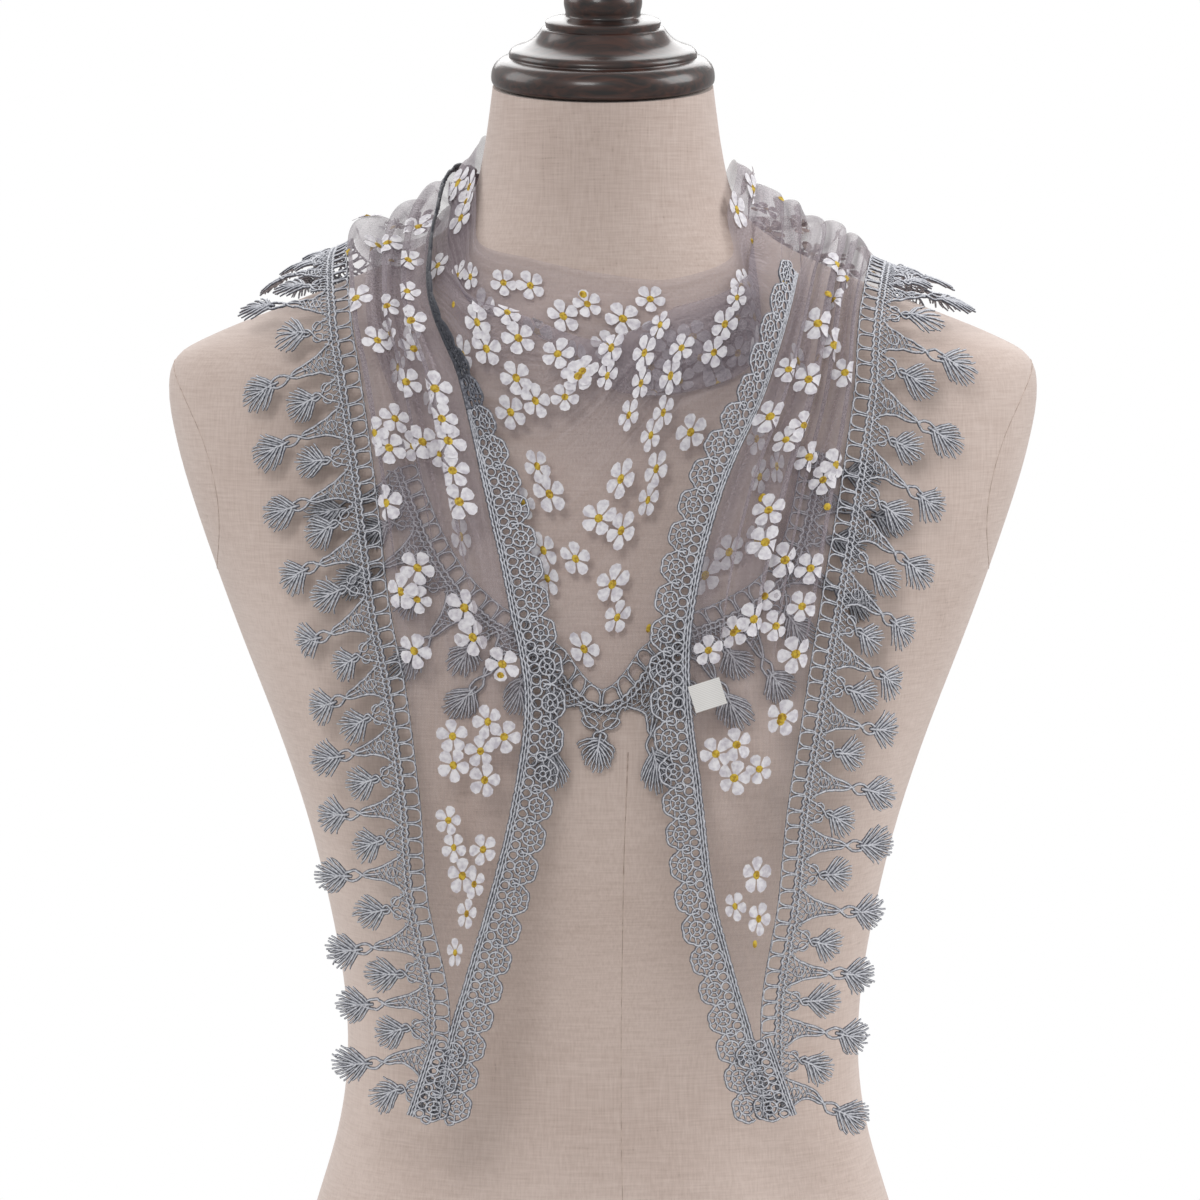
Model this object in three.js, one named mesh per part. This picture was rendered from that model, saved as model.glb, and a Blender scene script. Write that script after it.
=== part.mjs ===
// A sheer triangular shawl with lace edges, wound once round the neck of a linen dress form.
// Millimetres, +Z up, the front faces -Y. The origin is the middle of the form's flat underside.
import * as THREE from "three";

// Driving dimensions
const CLOTH_WALL = 1.2;
const LACE_WALL = 1.2;
const SEAM_GAP = 0.3;
// Below the fullest part of the chest the cloth hangs straight down, and its lace stands nearly straight out
const HANG = { height: 345, ease: 16, free: 50, straight: 0.7 };

// Wide lace: a ladder heading, a close band, then long and short leaves in turn
const BAND_WIDTH = 14;
const LEAF_STEP = 14;
const LONG_LEAF = { reach: 54, waist: 31, halfStem: 1.4, halfHead: 7 };
const SHORT_LEAF = { reach: 36, waist: 20, halfStem: 1.4, halfHead: 6 };
const LEAF_ROOT = 0.32; // half the leaf's root, as a share of the leaf step
const ROOT_RISE = 0.8; // how far the leaf's root stands out from the band's corners
const WINDOW = { start: 0.09, end: 0.41, low: 1.3, high: 5.8, slope: 0.4 }; // one of two in a leaf step

// Narrow lace: a straight band with one scallop for each step
const EDGING_BAND = 9;
const EDGING_REACH = 14;

// Blank label sewn on the right end beside its hem, one leaf step long from a row of the shawl
const LABEL = { fromRow: 30, strips: 3, wall: 0.8 };

// Rows of numbers under named columns, as objects.
function table(columns, ...rows) {
  return rows.map((row) => Object.fromEntries(columns.map((name, i) => [name, row[i]])));
}

// Equal steps from one value to another.
function evenly(from, to, steps) {
  return Array.from({ length: steps + 1 }, (_, i) => from + ((to - from) * i) / steps);
}

// The form's level sections: half width, depth to the front and back, forward shift, forward slant in
// degrees and how square the section is (2 is an ellipse).
const FORM_SECTIONS = table(
  ["height", "halfWidth", "front", "back", "shift", "slant", "square"],
  [0, 155, 104, 118, 0, 0, 2.2],
  [50, 151, 103, 117, 0, 0, 2.2],
  [100, 139, 99, 110, 0, 0, 2.2],
  [141, 126, 94, 102, 0, 0, 2.2],
  [172, 117, 90, 94, 0, 0, 2.2],
  [200, 113, 88, 88, 0, 0, 2.2],
  [229, 113.5, 92, 84, 0, 0, 2.2],
  [260, 118, 103, 84, 0, 0, 2.2],
  [304, 128, 119, 90, 0, 0, 2.2],
  [345, 141, 126, 97, 0, 0, 2.25],
  [400, 162, 118, 103, 0, 0, 2.3],
  [444, 177.5, 104, 104, 0, 0, 2.4],
  [475, 186.5, 93, 101, 0, 0, 2.45],
  [500, 190, 84, 96, 0, 0, 2.5],
  [514, 185, 78, 92, 0, 1, 2.5],
  [523, 168, 74, 89, 0, 2, 2.5],
  [533, 142, 70, 85, 0, 4, 2.4],
  [546, 108, 64, 78, 0, 7, 2.3],
  [558, 82, 58, 70, 2, 9, 2.2],
  [572, 64, 54, 60, 4, 10, 2.1],
  [586, 56, 51, 53, 6, 10, 2],
  [603, 52, 49, 48, 8, 10, 2],
  [620, 49.5, 48, 46, 10, 10, 2],
  [632, 48, 47, 46, 12, 10, 2],
);
const FORM_SIDES = 32;

// The turned neck cap: radius and height above the form's top
const CAP_PROFILE = table(
  ["radius", "height"],
  [0, 0],
  [45, 0],
  [48.5, 3.5],
  [48.5, 7],
  [46, 11],
  [41, 13],
  [40.5, 15.5],
  [33, 18.5],
  [28, 23],
  [26, 25.5],
  [24.8, 26],
  [24.8, 28.5],
  [16, 30.5],
  [17, 35.5],
  [15.5, 41],
  [8.5, 46.5],
  [9.5, 50],
  [7.5, 54],
  [0, 56],
);
const CAP_SIDES = 20;

// The shawl from the tip of the left end to the tip of the right end. Each row is a section across the
// cloth, from the long hem to the fringed edge. A null depth lies on the front of the form. Lifts are
// distances off the form.
const SHAWL_SECTIONS = table(
  ["hem", "fringe", "hemLift", "fringeLift", "pleat"],
  [[-67.5, null, 197], [-71.5, null, 196.5], 5, 5, 0],
  [[-59.5, null, 241], [-64, null, 242], 6, 6, 0],
  [[-46.5, null, 288], [-70.5, null, 290], 7, 7, 0.5],
  [[-36.5, null, 330], [-73, null, 330], 9, 8, 1.5],
  [[-31.5, null, 371], [-78, null, 371], 12, 9, 3],
  [[-38.5, null, 410], [-86.5, null, 411], 13, 9, 4.5],
  [[-49, null, 455], [-93, null, 456], 13, 9, 5],
  [[-59, null, 498], [-100, null, 499], 13, 9, 5],
  [[-69.5, null, 535], [-105, null, 525], 11, 8, 4.5],
  [[-60, 6, 590], [-106, 6, 547], 9, 7.5, 4],
  [[-46, 44, 596], [-92, 62, 538], 9, 8, 3],
  [[0, 48, 602], [0, 92, 522], 9, 9, 3],
  [[48, 42, 596], [84, 60, 548], 9, 11, 2],
  [[56, 4, 588], [78, 4, 563], 9, 14, 2],
  [[54, -30, 576], [84, -55, 508], 5, 2.5, 1.5],
  [[56, null, 557], [73, null, 433], 3, 2, 0.5],
  [[29.5, null, 547], [36, null, 405], 3, 2, 0],
  [[0, null, 549], [0, null, 375], 3, 2, 0],
  [[-29, null, 555], [-35, null, 404], 3, 2, 0],
  [[-54, null, 563], [-64, null, 435], 3, 2, 0.5],
  [[-56, -22, 577], [-88, -58, 500], 2, 2.6, 1.5],
  [[-56, 5, 590], [-102, 5, 549], 1.6, 2, 3],
  [[-46, 44, 592], [-90, 64, 530], 1.6, 2.5, 3],
  [[0, 50, 594], [0, 96, 506], 2, 2, 3],
  [[62, 46, 572], [110, 54, 516], 3.5, 2.5, 1.5],
  [[85, 2, 557], [114, 2, 542], 12, 6, 3],
  [[80, null, 534], [107, null, 525.5], 14, 8, 4],
  [[69, null, 500], [104, null, 497], 13, 9, 5],
  [[49.5, null, 455], [97, null, 456], 13, 9, 5],
  [[37.5, null, 410], [88, null, 411], 13, 9, 4.5],
  [[35, null, 375], [81.5, null, 377], 12, 9, 3],
  [[40, null, 330], [74, null, 330], 9, 8, 1.5],
  [[45.5, null, 288], [70.5, null, 290], 7, 7, 0.5],
  [[57.5, null, 241], [66, null, 243], 6, 6, 0],
  [[66.5, null, 197], [70.5, null, 196.5], 5, 5, 0],
);
const HEM = 0;
const FRINGE = 1;
const TIP_LEFT = 0;
const LEFT_OVER = 9;
const RIGHT_UNDER = 13;
const POINT = 17;
const LEFT_UNDER = 21;
const RIGHT_OVER = 25;
const TIP_RIGHT = 34;

// The cloth's stretches, each with how many strips its wall has and how many pleats across the cloth
const STRETCHES = table(
  ["name", "from", "to", "strips", "pleats"],
  ["tail_left", TIP_LEFT, LEFT_OVER, 12, 3],
  ["wrap_over", LEFT_OVER, RIGHT_UNDER, 8, 2],
  ["bib", RIGHT_UNDER, LEFT_UNDER, 16, 2],
  ["wrap_under", LEFT_UNDER, RIGHT_OVER, 8, 2],
  ["tail_right", RIGHT_OVER, TIP_RIGHT, 12, 3],
);

// The cowl fold in the middle of the bib, from the neck to the point: how far down the chest and off it
const COWL_SECTION = table(
  ["drop", "lift"],
  [0, 3],
  [0.1, 2.2],
  [0.165, 2.5],
  [0.185, 7],
  [0.205, 11],
  [0.25, 12.2],
  [0.36, 10.8],
  [0.5, 8.5],
  [0.66, 5.8],
  [0.83, 3.5],
  [1, 2],
);
const COWL_SPREAD = 3; // rows to each side of the point over which the fold fades

// One section of the form at any height, by a smooth curve through the table.
const SECTION_COLUMNS = ["halfWidth", "front", "back", "shift", "slant", "square"];
const LAST_SECTION = FORM_SECTIONS.length - 1;

function sectionSlope(i, column) {
  const before = FORM_SECTIONS[Math.max(i - 1, 0)];
  const after = FORM_SECTIONS[Math.min(i + 1, LAST_SECTION)];
  return (after[column] - before[column]) / (after.height - before.height);
}

function formSection(height) {
  const above = FORM_SECTIONS.findIndex((row) => row.height > height);
  if (above <= 0) return FORM_SECTIONS[above === 0 ? 0 : LAST_SECTION];
  const [low, high] = [FORM_SECTIONS[above - 1], FORM_SECTIONS[above]];
  const step = high.height - low.height;
  const u = (height - low.height) / step;
  const section = {};
  for (const column of SECTION_COLUMNS) {
    section[column] =
      (1 + 2 * u) * (1 - u) ** 2 * low[column] +
      u * (1 - u) ** 2 * step * sectionSlope(above - 1, column) +
      u * u * (3 - 2 * u) * high[column] +
      u * u * (u - 1) * step * sectionSlope(above, column);
  }
  return section;
}

// The height at which the form shapes the cloth: its own above the chest, the chest's below it.
function shapingHeight(height) {
  const above = height - HANG.height;
  return HANG.height + (above + Math.hypot(above, HANG.ease)) / 2;
}

// How far out a point is, as a share of the radius that the cloth rests on there.
function formShare(point) {
  let height = point.z;
  let section;
  for (let round = 0; round < 3; round += 1) {
    section = formSection(shapingHeight(height));
    height = point.z - Math.tan(THREE.MathUtils.degToRad(section.slant)) * point.y;
  }
  const y = point.y + section.shift;
  const depth = y < 0 ? section.front : section.back;
  const power = section.square;
  return ((Math.abs(point.x) / section.halfWidth) ** power + (Math.abs(y) / depth) ** power) ** (1 / power);
}

const PROBE = 0.05;
const AXES = [new THREE.Vector3(1, 0, 0), new THREE.Vector3(0, 1, 0), new THREE.Vector3(0, 0, 1)];

function formGradient(point) {
  const slopes = AXES.map((axis) => {
    const ahead = formShare(point.clone().addScaledVector(axis, PROBE));
    const behind = formShare(point.clone().addScaledVector(axis, -PROBE));
    return (ahead - behind) / (2 * PROBE);
  });
  return new THREE.Vector3(...slopes);
}

// The nearest point on the form, with the way out from it.
function settle(point) {
  const place = point.clone();
  for (let round = 0; round < 8; round += 1) {
    const gradient = formGradient(place);
    place.addScaledVector(gradient, (1 - formShare(place)) / gradient.lengthSq());
  }
  return { place, out: formGradient(place).normalize() };
}

// A table entry as a point: a null depth is the front of the form at that height.
function tablePoint([x, y, z]) {
  if (y !== null) return new THREE.Vector3(x, y, z);
  const section = formSection(shapingHeight(z));
  const power = section.square;
  const front = section.front * (1 - (Math.abs(x) / section.halfWidth) ** power) ** (1 / power);
  return new THREE.Vector3(x, -front - section.shift, z);
}

function rowCurve(pick) {
  return new THREE.CatmullRomCurve3(SHAWL_SECTIONS.map(pick), false, "catmullrom");
}

const hemCurve = rowCurve((row) => tablePoint(row.hem));
const fringeCurve = rowCurve((row) => tablePoint(row.fringe));
const liftCurve = rowCurve((row) => new THREE.Vector3(row.hemLift, row.fringeLift, row.pleat));
const cowlCurve = new THREE.SplineCurve(COWL_SECTION.map((row) => new THREE.Vector2(row.drop, row.lift)));

function onCurve(curve, row) {
  return curve.getPoint(THREE.MathUtils.clamp(row / TIP_RIGHT, 0, 1));
}

// A point of the cloth's middle surface: row counts sections from the left tip, share goes from the hem.
function clothPoint(row, share, pleats) {
  const lifts = onCurve(liftCurve, row);
  const fold = 1 - THREE.MathUtils.smoothstep(Math.abs(row - POINT), 0, COWL_SPREAD);
  const cowl = cowlCurve.getPoint(share);
  const across = THREE.MathUtils.lerp(share, cowl.x, fold);
  const plainLift = THREE.MathUtils.lerp(lifts.x, lifts.y, share);
  const wave = (1 - Math.cos(2 * Math.PI * pleats * share)) / 2;
  const lift = THREE.MathUtils.lerp(plainLift + lifts.z * wave, cowl.y, fold);
  const { place, out } = settle(onCurve(hemCurve, row).lerp(onCurve(fringeCurve, row), across));
  return place.addScaledVector(out, lift);
}

// The cloth's own outward direction at a point.
function clothNormal(row, share, pleats) {
  const nudge = 0.004;
  const rowBefore = clothPoint(Math.max(row - nudge, TIP_LEFT), share, pleats);
  const rowAfter = clothPoint(Math.min(row + nudge, TIP_RIGHT), share, pleats);
  const acrossBefore = clothPoint(row, Math.max(share - nudge, 0), pleats);
  const acrossAfter = clothPoint(row, Math.min(share + nudge, 1), pleats);
  return rowAfter.sub(rowBefore).cross(acrossAfter.sub(acrossBefore)).normalize();
}

// Rows at equal steps along the fringed edge of a stretch, each end half a seam gap short.
function stretchRows({ from, to }) {
  const samples = 240;
  const rows = evenly(from, to, samples);
  const points = rows.map((row) => onCurve(fringeCurve, row));
  const lengths = [0];
  for (let i = 1; i <= samples; i += 1) lengths.push(lengths[i - 1] + points[i].distanceTo(points[i - 1]));
  const total = lengths[samples];
  const steps = 2 * Math.round(total / LEAF_STEP / 2);
  const rowAt = (length) => {
    const i = THREE.MathUtils.clamp(lengths.findIndex((l) => l >= length), 1, samples);
    const u = (length - lengths[i - 1]) / (lengths[i] - lengths[i - 1]);
    return THREE.MathUtils.lerp(rows[i - 1], rows[i], u);
  };
  return evenly(SEAM_GAP / 2, total - SEAM_GAP / 2, steps).map(rowAt);
}

// A closed geometry whose faces point out.
function closedGeometry(points, triangles) {
  let volume = 0;
  for (const [a, b, c] of triangles) volume += points[a].dot(points[b].clone().cross(points[c])) / 6;
  const facing = volume < 0 ? triangles.map(([a, b, c]) => [a, c, b]) : triangles;
  return new THREE.BufferGeometry().setFromPoints(points).setIndex(facing.flat());
}

// A cloth wall: a grid of middle points, moved out and in by half the wall, closed round the edges.
function clothWall(rows, shares, pleats, wall, standOff = 0) {
  const points = [];
  const triangles = [];
  const perRow = shares.length;
  const strips = perRow - 1;
  const sideCount = rows.length * perRow;
  for (const side of [0.5, -0.5]) {
    for (const row of rows) {
      for (const share of shares) {
        const normal = clothNormal(row, share, pleats);
        points.push(clothPoint(row, share, pleats).addScaledVector(normal, standOff + side * wall));
      }
    }
  }
  const quad = (a, b, c, d) => triangles.push([a, b, c], [a, c, d]);
  const at = (i, j, side) => side * sideCount + i * perRow + j;
  for (let i = 0; i + 1 < rows.length; i += 1) {
    for (let j = 0; j < strips; j += 1) {
      quad(at(i, j, 0), at(i + 1, j, 0), at(i + 1, j + 1, 0), at(i, j + 1, 0));
      quad(at(i, j, 1), at(i, j + 1, 1), at(i + 1, j + 1, 1), at(i + 1, j, 1));
    }
    quad(at(i, 0, 0), at(i, 0, 1), at(i + 1, 0, 1), at(i + 1, 0, 0));
    quad(at(i, strips, 0), at(i + 1, strips, 0), at(i + 1, strips, 1), at(i, strips, 1));
  }
  const end = rows.length - 1;
  for (let j = 0; j < strips; j += 1) {
    quad(at(0, j, 0), at(0, j + 1, 0), at(0, j + 1, 1), at(0, j, 1));
    quad(at(end, j, 0), at(end, j, 1), at(end, j + 1, 1), at(end, j + 1, 0));
  }
  return closedGeometry(points, triangles);
}

// Corners given as shares of the step along and millimetres out.
function laceOutline(corners) {
  return corners.map(([along, out]) => new THREE.Vector2(along, out));
}

// One step of wide lace: the band with its two ladder windows, and the leaf that hangs from it.
function fringeCell({ reach, waist, halfStem, halfHead }, open) {
  const { start, end, low, high, slope } = WINDOW;
  const stem = halfStem / LEAF_STEP;
  const half = halfHead / LEAF_STEP;
  const widest = waist + 0.55 * (reach - waist);
  const root = BAND_WIDTH + ROOT_RISE;
  const [rootStart, rootEnd] = [0.5 - LEAF_ROOT, 0.5 + LEAF_ROOT];
  const band = laceOutline([
    [0, SEAM_GAP],
    [1, SEAM_GAP],
    [1, BAND_WIDTH],
    [rootEnd, root],
    [rootStart, root],
    [0, BAND_WIDTH],
  ]);
  const leaf = laceOutline([
    [rootStart, root],
    [rootEnd, root],
    [0.5 + stem, waist],
    [0.5 + half, widest],
    [0.5, reach],
    [0.5 - half, widest],
    [0.5 - stem, waist],
  ]);
  const windows = [0, 0.5].map((shift) =>
    laceOutline([
      [shift + start, low],
      [shift + start, high],
      [shift + end, high + slope],
      [shift + end, low + slope],
    ]),
  );
  return [
    { outline: band, windows: open ? windows : [] },
    { outline: leaf, windows: [] },
  ];
}

// One step of narrow lace, with its scallop.
function edgingCell() {
  const outline = laceOutline([
    [0, SEAM_GAP],
    [1, SEAM_GAP],
    [1, EDGING_BAND],
    [0.7, EDGING_REACH],
    [0.3, EDGING_REACH],
    [0, EDGING_BAND],
  ]);
  return [{ outline, windows: [] }];
}

// Where lace is sewn to an edge of the cloth: the form below each row, the way off the cloth and the lift.
function edgeSeats(rows, edge) {
  const [own, other] = edge === HEM ? [hemCurve, fringeCurve] : [fringeCurve, hemCurve];
  return rows.map((row) => {
    const lifts = onCurve(liftCurve, row);
    const { place, out } = settle(onCurve(own, row));
    const along = onCurve(own, row + 0.02).sub(onCurve(own, row - 0.02));
    const away = along.cross(out).normalize();
    if (away.dot(onCurve(own, row).sub(onCurve(other, row))) < 0) away.negate();
    return { place, away, lift: edge === HEM ? lifts.x : lifts.y };
  });
}

// A corner of a lace cell, carried out from its two seats over the form: a point and the way out there.
function carryCorner(seat, next, corner, reach, tipLift) {
  const hanging = corner.y > BAND_WIDTH + ROOT_RISE; // leaves keep their own width where the edge turns
  const at = hanging ? 0.5 : corner.x;
  const along = next.place.clone().sub(seat.place).normalize();
  const away = seat.away.clone().lerp(next.away, at).normalize();
  const flat = seat.place.clone().lerp(next.place, at);
  flat.addScaledVector(away, corner.y).addScaledVector(along, (corner.x - at) * LEAF_STEP);
  const { place, out } = settle(flat);
  const free = THREE.MathUtils.smoothstep(HANG.height - flat.z, -HANG.free, HANG.free);
  const edgeLift = THREE.MathUtils.lerp(seat.lift, next.lift, corner.x);
  const lift = THREE.MathUtils.lerp(edgeLift, Math.min(tipLift, edgeLift), corner.y / reach);
  return { point: place.lerp(flat, HANG.straight * free).addScaledVector(out, lift), out };
}

// Lace sewn to one edge of the cloth: flat cells side by side, with a wall closed along every open edge.
function laceStrip(rows, edge, cellAt, tipLift) {
  const seats = edgeSeats(rows, edge);
  const reach = edge === HEM ? EDGING_REACH : LONG_LEAF.reach;
  const corners = new Map();
  const faces = [];
  for (let i = 0; i + 1 < rows.length; i += 1) {
    for (const { outline, windows } of cellAt(i)) {
      const indices = [outline, ...windows].flat().map((corner) => {
        const key = `${(i + corner.x).toFixed(4)} ${corner.y.toFixed(3)}`;
        if (!corners.has(key)) {
          const carried = carryCorner(seats[i], seats[i + 1], corner, reach, tipLift);
          corners.set(key, { index: corners.size, ...carried });
        }
        return corners.get(key).index;
      });
      const flatFaces = THREE.ShapeUtils.triangulateShape(outline, windows);
      faces.push(...flatFaces.map((face) => face.map((n) => indices[n])));
    }
  }
  const count = corners.size;
  const sides = [0.5, -0.5].map((side) =>
    [...corners.values()].map(({ point, out }) => point.clone().addScaledVector(out, side * LACE_WALL)),
  );
  const edges = new Set(faces.flatMap(([a, b, c]) => [`${a} ${b}`, `${b} ${c}`, `${c} ${a}`]));
  const triangles = faces.flatMap(([a, b, c]) => [
    [a, b, c],
    [count + a, count + c, count + b],
  ]);
  for (const key of edges) {
    const [a, b] = key.split(" ").map(Number);
    if (edges.has(`${b} ${a}`)) continue;
    triangles.push([a, count + a, count + b], [a, count + b, b]);
  }
  return closedGeometry(sides.flat(), triangles);
}

// The form: rings of points through the sections, closed flat below and on the slanted top.
function formGeometry() {
  const heights = FORM_SECTIONS.map((row) => row.height);
  const points = [];
  const triangles = [];
  for (const height of heights) {
    const { halfWidth, front, back, shift, slant, square } = formSection(height);
    for (let k = 0; k < FORM_SIDES; k += 1) {
      const turn = (2 * Math.PI * k) / FORM_SIDES;
      const round = (value) => Math.sign(value) * Math.abs(value) ** (2 / square);
      const x = halfWidth * round(Math.cos(turn));
      const depth = round(Math.sin(turn));
      const y = depth * (depth < 0 ? front : back) - shift;
      points.push(new THREE.Vector3(x, y, height + Math.tan(THREE.MathUtils.degToRad(slant)) * y));
    }
  }
  for (let i = 0; i + 1 < heights.length; i += 1) {
    for (let k = 0; k < FORM_SIDES; k += 1) {
      const next = (k + 1) % FORM_SIDES;
      const [a, b] = [i * FORM_SIDES + k, i * FORM_SIDES + next];
      triangles.push([a, b, b + FORM_SIDES], [a, b + FORM_SIDES, a + FORM_SIDES]);
    }
  }
  const top = (heights.length - 1) * FORM_SIDES;
  for (let k = 1; k + 1 < FORM_SIDES; k += 1) {
    triangles.push([0, k + 1, k], [top, top + k, top + k + 1]);
  }
  return closedGeometry(points, triangles);
}

// Finishes
const linen = new THREE.MeshStandardMaterial({ color: 0xd9cabb, roughness: 0.9, metalness: 0 });
const darkWood = new THREE.MeshStandardMaterial({ color: 0x3a2a26, roughness: 0.35, metalness: 0 });
const net = new THREE.MeshStandardMaterial({ color: 0x9d949a, roughness: 0.7, metalness: 0 });
const lace = new THREE.MeshStandardMaterial({ color: 0x8f959d, roughness: 0.75, metalness: 0 });
const tape = new THREE.MeshStandardMaterial({ color: 0xefeeec, roughness: 0.8, metalness: 0 });

const part = new THREE.Group();

function addPiece(name, geometry, material) {
  const mesh = new THREE.Mesh(geometry, material);
  mesh.name = name;
  part.add(mesh);
  return mesh;
}

addPiece("form_body", formGeometry(), linen);

const capProfile = CAP_PROFILE.map(({ radius, height }) => new THREE.Vector2(radius, height));
const cap = addPiece("neck_cap", new THREE.LatheGeometry(capProfile, CAP_SIDES), darkWood);
const topRow = FORM_SECTIONS[FORM_SECTIONS.length - 1];
const capTilt = THREE.MathUtils.degToRad(topRow.slant);
cap.rotation.x = Math.PI / 2 + capTilt;
cap.position.set(0, -topRow.shift, topRow.height - Math.tan(capTilt) * topRow.shift + SEAM_GAP);

const rowsOf = {};
for (const stretch of STRETCHES) {
  rowsOf[stretch.name] = stretchRows(stretch);
  const shares = evenly(0, 1, stretch.strips);
  addPiece(stretch.name, clothWall(rowsOf[stretch.name], shares, stretch.pleats, CLOTH_WALL), net);
}

// Rows where the ladder heading is open: not where cloth lies over it, nor round the sharp turn at the point
const CLOSED = [];
const BIB_OPEN = [
  [POINT - 1.5, POINT - 0.3],
  [POINT + 0.3, POINT + 1.5],
];
const LACE_PIECES = table(
  ["name", "stretch", "from", "to", "edge", "openRows", "tipLift"],
  ["edging_left", "tail_left", TIP_LEFT + 0.3, LEFT_OVER, HEM, CLOSED, 12],
  ["edging_right", "tail_right", RIGHT_OVER + 0.6, TIP_RIGHT - 0.3, HEM, CLOSED, 12],
  ["edging_neck", "wrap_over", LEFT_OVER, RIGHT_UNDER, HEM, CLOSED, 12],
  ["fringe_left", "tail_left", TIP_LEFT, LEFT_OVER, FRINGE, [[TIP_LEFT, TIP_LEFT + 6]], 7],
  ["fringe_right", "tail_right", RIGHT_OVER, TIP_RIGHT, FRINGE, [[TIP_RIGHT - 6, TIP_RIGHT]], 7],
  ["fringe_bib", "bib", POINT - 2.6, POINT + 2.6, FRINGE, BIB_OPEN, 2],
  ["fringe_over", "wrap_over", LEFT_OVER, RIGHT_UNDER - 0.7, FRINGE, CLOSED, 9],
  ["fringe_under", "wrap_under", LEFT_UNDER + 0.6, RIGHT_OVER - 0.25, FRINGE, CLOSED, 3],
);
for (const { name, stretch, from, to, edge, openRows, tipLift } of LACE_PIECES) {
  const rows = rowsOf[stretch].filter((row) => row >= from && row <= to);
  const cellAt = (i) => {
    if (edge === HEM) return edgingCell();
    const open = openRows.some(([start, end]) => rows[i] >= start && rows[i + 1] <= end);
    return fringeCell(i % 2 === 0 ? SHORT_LEAF : LONG_LEAF, open);
  };
  addPiece(name, laceStrip(rows, edge, cellAt, tipLift), lace);
}

const labelStretch = STRETCHES.find((stretch) => stretch.name === "tail_right");
const labelStart = rowsOf.tail_right.findIndex((row) => row >= LABEL.fromRow);
const labelRows = rowsOf.tail_right.slice(labelStart, labelStart + 2);
const labelShares = evenly(0, 1, labelStretch.strips).slice(0, LABEL.strips + 1);
const labelStandOff = (CLOTH_WALL + LABEL.wall) / 2 + SEAM_GAP;
const labelWall = clothWall(labelRows, labelShares, labelStretch.pleats, LABEL.wall, labelStandOff);
addPiece("label", labelWall, tape);

export default part;
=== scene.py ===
"""A sheer flowered shawl with lace edges, wound once round the neck of a linen dress form.

Shapes are worked out in millimetres, +Z up, with the front facing -Y, and become metres in the meshes.
"""

import logging
import math
from dataclasses import dataclass, field, replace
from enum import Enum
from typing import Callable, NamedTuple, Optional

import bpy
import numpy as np
from mathutils import Matrix, Vector
from numpy.linalg import norm


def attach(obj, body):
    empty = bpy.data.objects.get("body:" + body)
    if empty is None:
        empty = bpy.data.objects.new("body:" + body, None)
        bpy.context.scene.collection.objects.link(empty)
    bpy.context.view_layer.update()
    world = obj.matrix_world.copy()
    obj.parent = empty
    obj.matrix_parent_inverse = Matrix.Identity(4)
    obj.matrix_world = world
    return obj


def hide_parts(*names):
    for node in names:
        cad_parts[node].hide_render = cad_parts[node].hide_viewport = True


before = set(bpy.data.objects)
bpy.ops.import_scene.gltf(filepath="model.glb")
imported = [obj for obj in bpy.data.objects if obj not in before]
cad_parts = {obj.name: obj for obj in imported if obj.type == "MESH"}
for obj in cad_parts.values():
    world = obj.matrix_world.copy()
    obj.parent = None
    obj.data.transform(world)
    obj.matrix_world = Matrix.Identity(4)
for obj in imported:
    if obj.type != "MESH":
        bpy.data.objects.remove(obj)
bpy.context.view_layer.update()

MM = 0.001
LOG = logging.getLogger("lace_shawl")
FAR = 1e6  # mm, past any place on the part
TINY = 1e-6
INSIDE = 1.001  # keeps a place short of the last point of a grid

Array = np.ndarray
Chance = np.random.Generator
Material = bpy.types.Material
Piece = bpy.types.Object
Tree = bpy.types.NodeTree
Pair = tuple[float, float]
Triple = tuple[float, float, float]
Faces = tuple[Array, Array]  # points, and the corner numbers of the faces between them
Table = tuple[Pair, ...]  # rows of the shawl, each with a value, or one for every row
Seat = tuple[float, ...]  # across, back and up, or across and up on the form's front
Stops = list[tuple[float, str]]  # positions and sRGB hex colours
Cluster = tuple[float, float, int]  # flowers seen together: their middle, across and up, and their count
Spots = list[Pair]  # places on a stretch of cloth, in rows and columns of its grid


class Edge(Enum):
    """The two edges of the cloth that carry lace."""

    HEM = 0
    FRINGE = 1


def smoothstep(value: Array, low: float, high: float) -> Array:
    """A soft ramp, from 0 at the low value to 1 at the high one."""
    u = np.clip((np.asarray(value, float) - low) / (high - low), 0, 1)
    return u * u * (3 - 2 * u)


def through(knots: Array, at: Array) -> Array:
    """A smooth curve through evenly counted knots.

    Args:
        knots: One row for each knot.
        at: Places along it, counted in knots.

    Returns:
        The curve's values there, one row for each place.
    """
    ends = np.vstack([2 * knots[:1] - knots[1:2], knots, 2 * knots[-1:] - knots[-2:-1]])
    at = np.clip(np.asarray(at, float), 0, len(knots) - 1)
    i = np.minimum(at.astype(int), len(knots) - 2)
    u = (at - i)[..., None]
    start, stop = ends[i + 1], ends[i + 2]
    leave, arrive = (stop - ends[i]) / 2, (ends[i + 3] - start) / 2
    return (
        (2 * u**3 - 3 * u**2 + 1) * start
        + (u**3 - 2 * u**2 + u) * leave
        + (3 * u**2 - 2 * u**3) * stop
        + (u**3 - u**2) * arrive
    )


def read_off(table: Table, row: Array) -> Array:
    """A table's values at rows of the shawl, evenly in between."""
    return np.interp(row, *np.array(table).T)


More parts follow.
